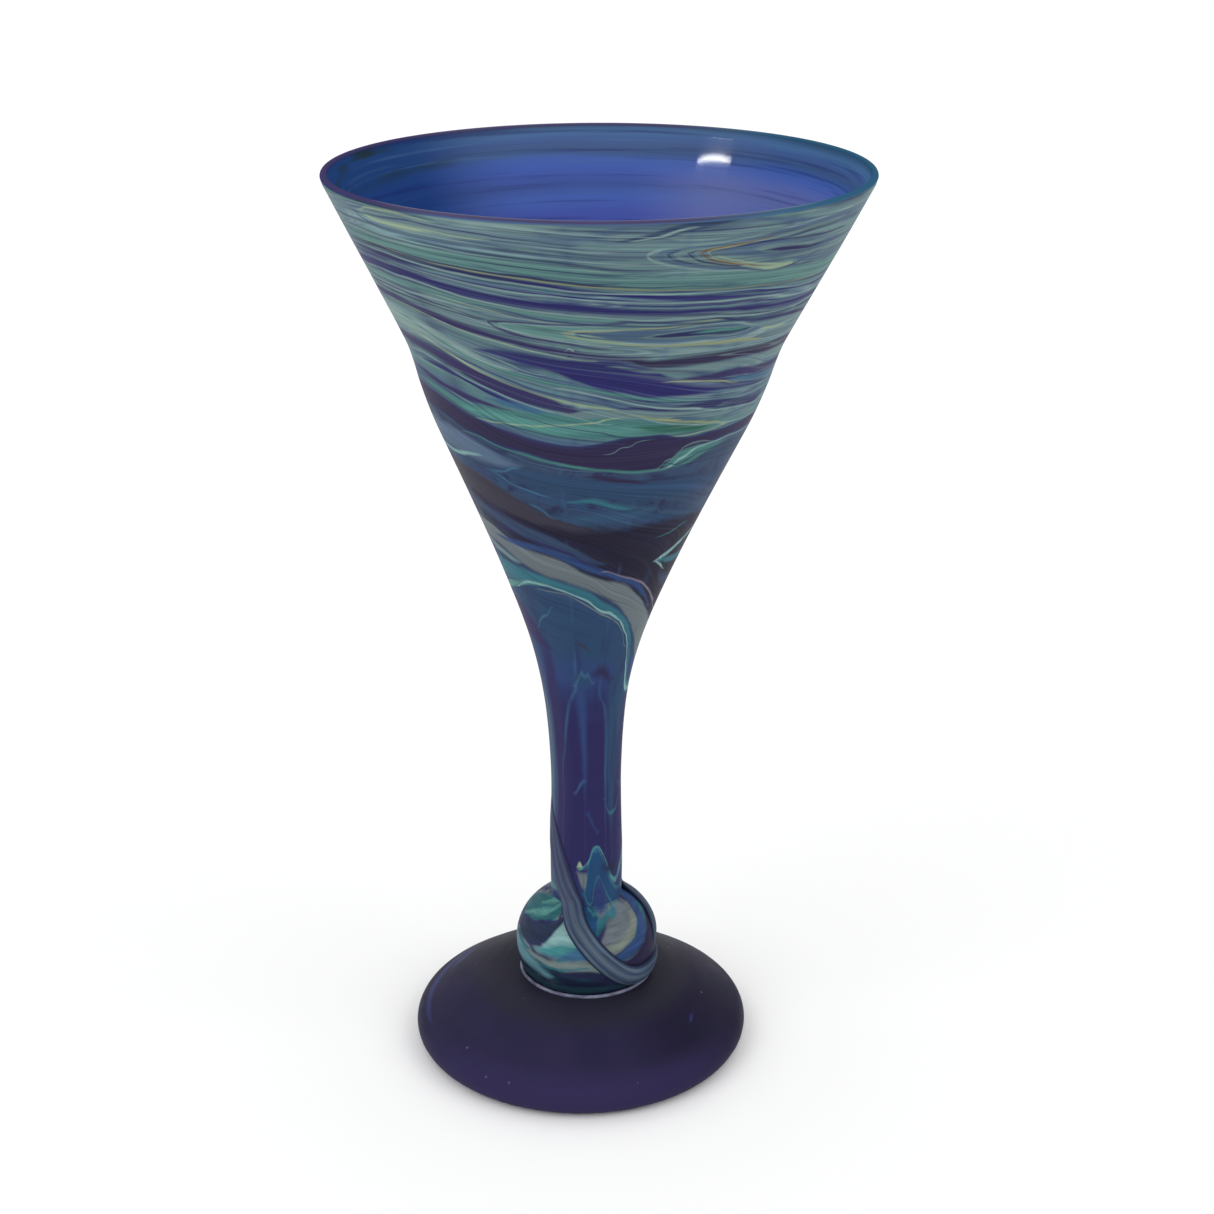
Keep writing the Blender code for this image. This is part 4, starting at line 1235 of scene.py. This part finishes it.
def strand_glass(name, core, flank, crease):
    """Glass drawn out into a strand: a pale core, coloured flanks, and a dark line along each side, painted
    shade in the crease where the strand meets the glass.
    """
    glass = Glass(name)
    along = glass.math("MULTIPLY", glass.up, 5)
    across = glass.math("MULTIPLY", glass.across, 26)
    streaks = glass.noise(glass.place(across, 0.0, along), detail=3, roughness=0.6)
    ridge = glass.math("ABSOLUTE", glass.math("SUBTRACT", glass.across, 0.25))
    uneven = glass.shifted(ridge, streaks, 0.16)
    # the crease colour is painted shade along the strand's feet
    colour = glass.ramp(uneven, [(0.0, core), (0.07, flank), (0.12, core), (0.16, flank), (0.21, crease)])
    colour = glass.tint(colour, srgb(58, 60, 90), glass.span(glass.up, 0.5, 0.2), 0.6)
    colour = glass.tint(colour, srgb(40, 58, 80), glass.span(glass.up, 0.72, 0.95), 0.6)
    glass.set(Base_Color=glass.lit(colour, glass.shifted(1.0, streaks, 2.0)))
    satin(glass)
    return glass.material


# ---------------------------------------------------------------- the foot and its seam
FOOT_STREAKS = [
    (srgb(54, 64, 118), 1.2, [
        (-150, 8.6, -0.5), (-128, 8.8, 0.1), (-108, 8.4, 0.25), (-92, 7.8, 0.1), (-70, 7.4, -0.5),
    ]),
    (srgb(50, 62, 112), 1.2, [(-130, 10.4, -0.5), (-116, 10.4, 0.3), (-104, 9.8, -0.4)]),
    (srgb(48, 54, 108), 0.5, [(56, 11.2, -0.1), (59, 11.5, 0.12), (62, 11.7, -0.1)]),
]


DUST_SCALE = 170  # tiny bubbles: how many per metre


def foot_glass():
    glass = Glass("foot_glass")
    cloud = glass.noise(glass.round_it(glass.height, 1.4, 0.12), detail=3)
    colour = glass.mix(glass.span(cloud, 0.35, 0.65), srgb(36, 33, 60), srgb(42, 38, 67))
    # painted shade: the foot darker on its right side and at its back
    away = glass.math("MAXIMUM", glass.span(glass.side, 0.1, 0.8), glass.span(glass.front, 0.3, -0.5))
    colour = glass.tint(colour, srgb(22, 19, 40), away, 0.75)
    colour = glass.tint(colour, srgb(40, 40, 50), glass.span(glass.height, 12.5, 15.5), 0.75)
    # painted highlight: a lighter purple band along the front of the rounded edge
    edge = glass.math("MULTIPLY", glass.span(glass.height, 10, 6.5), glass.span(glass.front, 0.2, 0.9))
    colour = glass.tint(colour, srgb(50, 44, 82), edge, 0.6)
    colour = glass.strokes(colour, FOOT_STREAKS)
    texture = glass.tree.nodes.new("ShaderNodeTexCoord").outputs["Object"]
    dust = glass.tree.nodes.new("ShaderNodeTexVoronoi")
    dust.inputs["Scale"].default_value = DUST_SCALE
    glass.plug(dust.inputs["Vector"], texture)
    colour = glass.tint(colour, srgb(120, 120, 140), glass.span(dust.outputs["Distance"], 0.07, 0.04), 0.3)
    glass.set(Base_Color=colour)
    satin(glass)
    return glass.material


def seam_glass():
    glass = Glass("seam_glass")
    broken = glass.noise(glass.round_it(glass.height, 4, 1.0), detail=3)
    glass.set(Base_Color=glass.mix(glass.span(broken, 0.35, 0.65), srgb(84, 86, 108), srgb(128, 130, 152)))
    satin(glass, roughness=0.6)
    return glass.material


# ---------------------------------------------------------------- floor, light and camera
FLOOR_HALF, FLOOR_DROP = 6.0, 0.00005  # metres
FLOOR_WHITE, WORLD_WHITE = 0.96, 0.97
SUN_WIDTH = 38  # degrees: a wide sun has soft shadows
LEFT_SUN, RIGHT_SUN = 0.4, 0.34
# The lamp is a strip that the bowl's inner wall mirrors as a small level highlight under the rim.
LAMP_PLACE = Vector((-0.3875, -0.1366, 0.5891))
LAMP_LENGTHWAYS = Vector((-0.522, 0.824, -0.217))
LAMP_SIZE, LAMP_POWER = (0.15, 0.004), 0.12
HIGHLIGHT_SPOT = Vector((0.0252, 0.0446, 0.193))
CAMERA_PLACE = (0.0015, -0.438, 0.276)
CAMERA_DOWN = 21.37  # degrees below level
SENSOR, LENS = 36, 64.8


def make_floor():
    mesh = bpy.data.meshes.new("floor")
    corners = [(-1, -1), (1, -1), (1, 1), (-1, 1)]
    mesh.from_pydata([(x * FLOOR_HALF, y * FLOOR_HALF, 0) for x, y in corners], [], [(0, 1, 2, 3)])
    floor = bpy.data.objects.new("floor", mesh)
    bpy.context.scene.collection.objects.link(floor)
    floor.location.z = -FLOOR_DROP
    material = bpy.data.materials.new("floor")
    material.use_nodes = True
    shader = material.node_tree.nodes["Principled BSDF"]
    shader.inputs["Base Color"].default_value = (FLOOR_WHITE, FLOOR_WHITE, FLOOR_WHITE, 1)
    shader.inputs["Roughness"].default_value = 0.9
    mesh.materials.append(material)


def soft_sun(name, direction, strength):
    """Even light from one side with wide soft shadows, like a big far softbox."""
    data = bpy.data.lights.new(name, "SUN")
    data.energy = strength
    data.angle = math.radians(SUN_WIDTH)
    light = bpy.data.objects.new(name, data)
    light.visible_glossy = False  # the glossy inside mirrors no softbox
    light.rotation_euler = Vector(direction).to_track_quat("Z", "Y").to_euler()
    bpy.context.scene.collection.objects.link(light)


def highlight_lamp():
    """A narrow lamp, seen only as the one small highlight inside the bowl."""
    data = bpy.data.lights.new("highlight_lamp", "AREA")
    data.shape = "ELLIPSE"
    data.size, data.size_y = LAMP_SIZE
    data.energy = LAMP_POWER
    lamp = bpy.data.objects.new("highlight_lamp", data)
    lamp.visible_diffuse = False
    lamp.location = LAMP_PLACE
    away = (LAMP_PLACE - HIGHLIGHT_SPOT).normalized()
    along = (LAMP_LENGTHWAYS - away * LAMP_LENGTHWAYS.dot(away)).normalized()
    lamp.rotation_euler = Matrix((along, away.cross(along), away)).transposed().to_euler()
    bpy.context.scene.collection.objects.link(lamp)


def make_light():
    world = bpy.data.worlds.new("studio")
    world.use_nodes = True
    background = world.node_tree.nodes["Background"]
    background.inputs["Color"].default_value = (1, 1, 1, 1)
    background.inputs["Strength"].default_value = WORLD_WHITE
    bpy.context.scene.world = world
    soft_sun("left_softbox", (-1.0, -0.8, 1.1), LEFT_SUN)
    soft_sun("right_softbox", (1.1, -0.5, 1.0), RIGHT_SUN)
    highlight_lamp()


def make_camera():
    """Looks down on the glass from 0.44 m in front of it and 0.28 m above the table."""
    data = bpy.data.cameras.new("camera")
    data.sensor_width = SENSOR
    data.lens = LENS
    data.clip_start = 0.01
    camera = bpy.data.objects.new("camera", data)
    camera.location = CAMERA_PLACE
    camera.rotation_euler = (math.radians(90 - CAMERA_DOWN), 0, 0)
    bpy.context.scene.collection.objects.link(camera)
    bpy.context.scene.camera = camera


def make_strands():
    front = make_trail("front_strand", FRONT_TRAIL, FRONT_HEIGHT, "knop_trail_front")
    # each strand's colours: core, flank, and the painted shade of its crease
    colours = (srgb(84, 98, 112), srgb(44, 58, 84), srgb(28, 30, 50))
    front.data.materials.append(strand_glass("strand_glass", *colours))
    side = make_trail("side_strand", SIDE_TRAIL, SIDE_HEIGHT, "knop_trail_side")
    colours = (srgb(60, 76, 92), srgb(34, 48, 72), srgb(24, 26, 44))
    side.data.materials.append(strand_glass("side_strand_glass", *colours))


def main():
    make_camera()
    make_light()
    make_floor()
    make_casing().data.materials.append(casing_glass())
    make_lining().data.materials.append(lining_glass())
    make_knop().data.materials.append(knop_glass())
    make_strands()
    make_foot().data.materials.append(foot_glass())
    make_seam().data.materials.append(seam_glass())


main()
bpy.context.scene.view_settings.view_transform = "Standard"
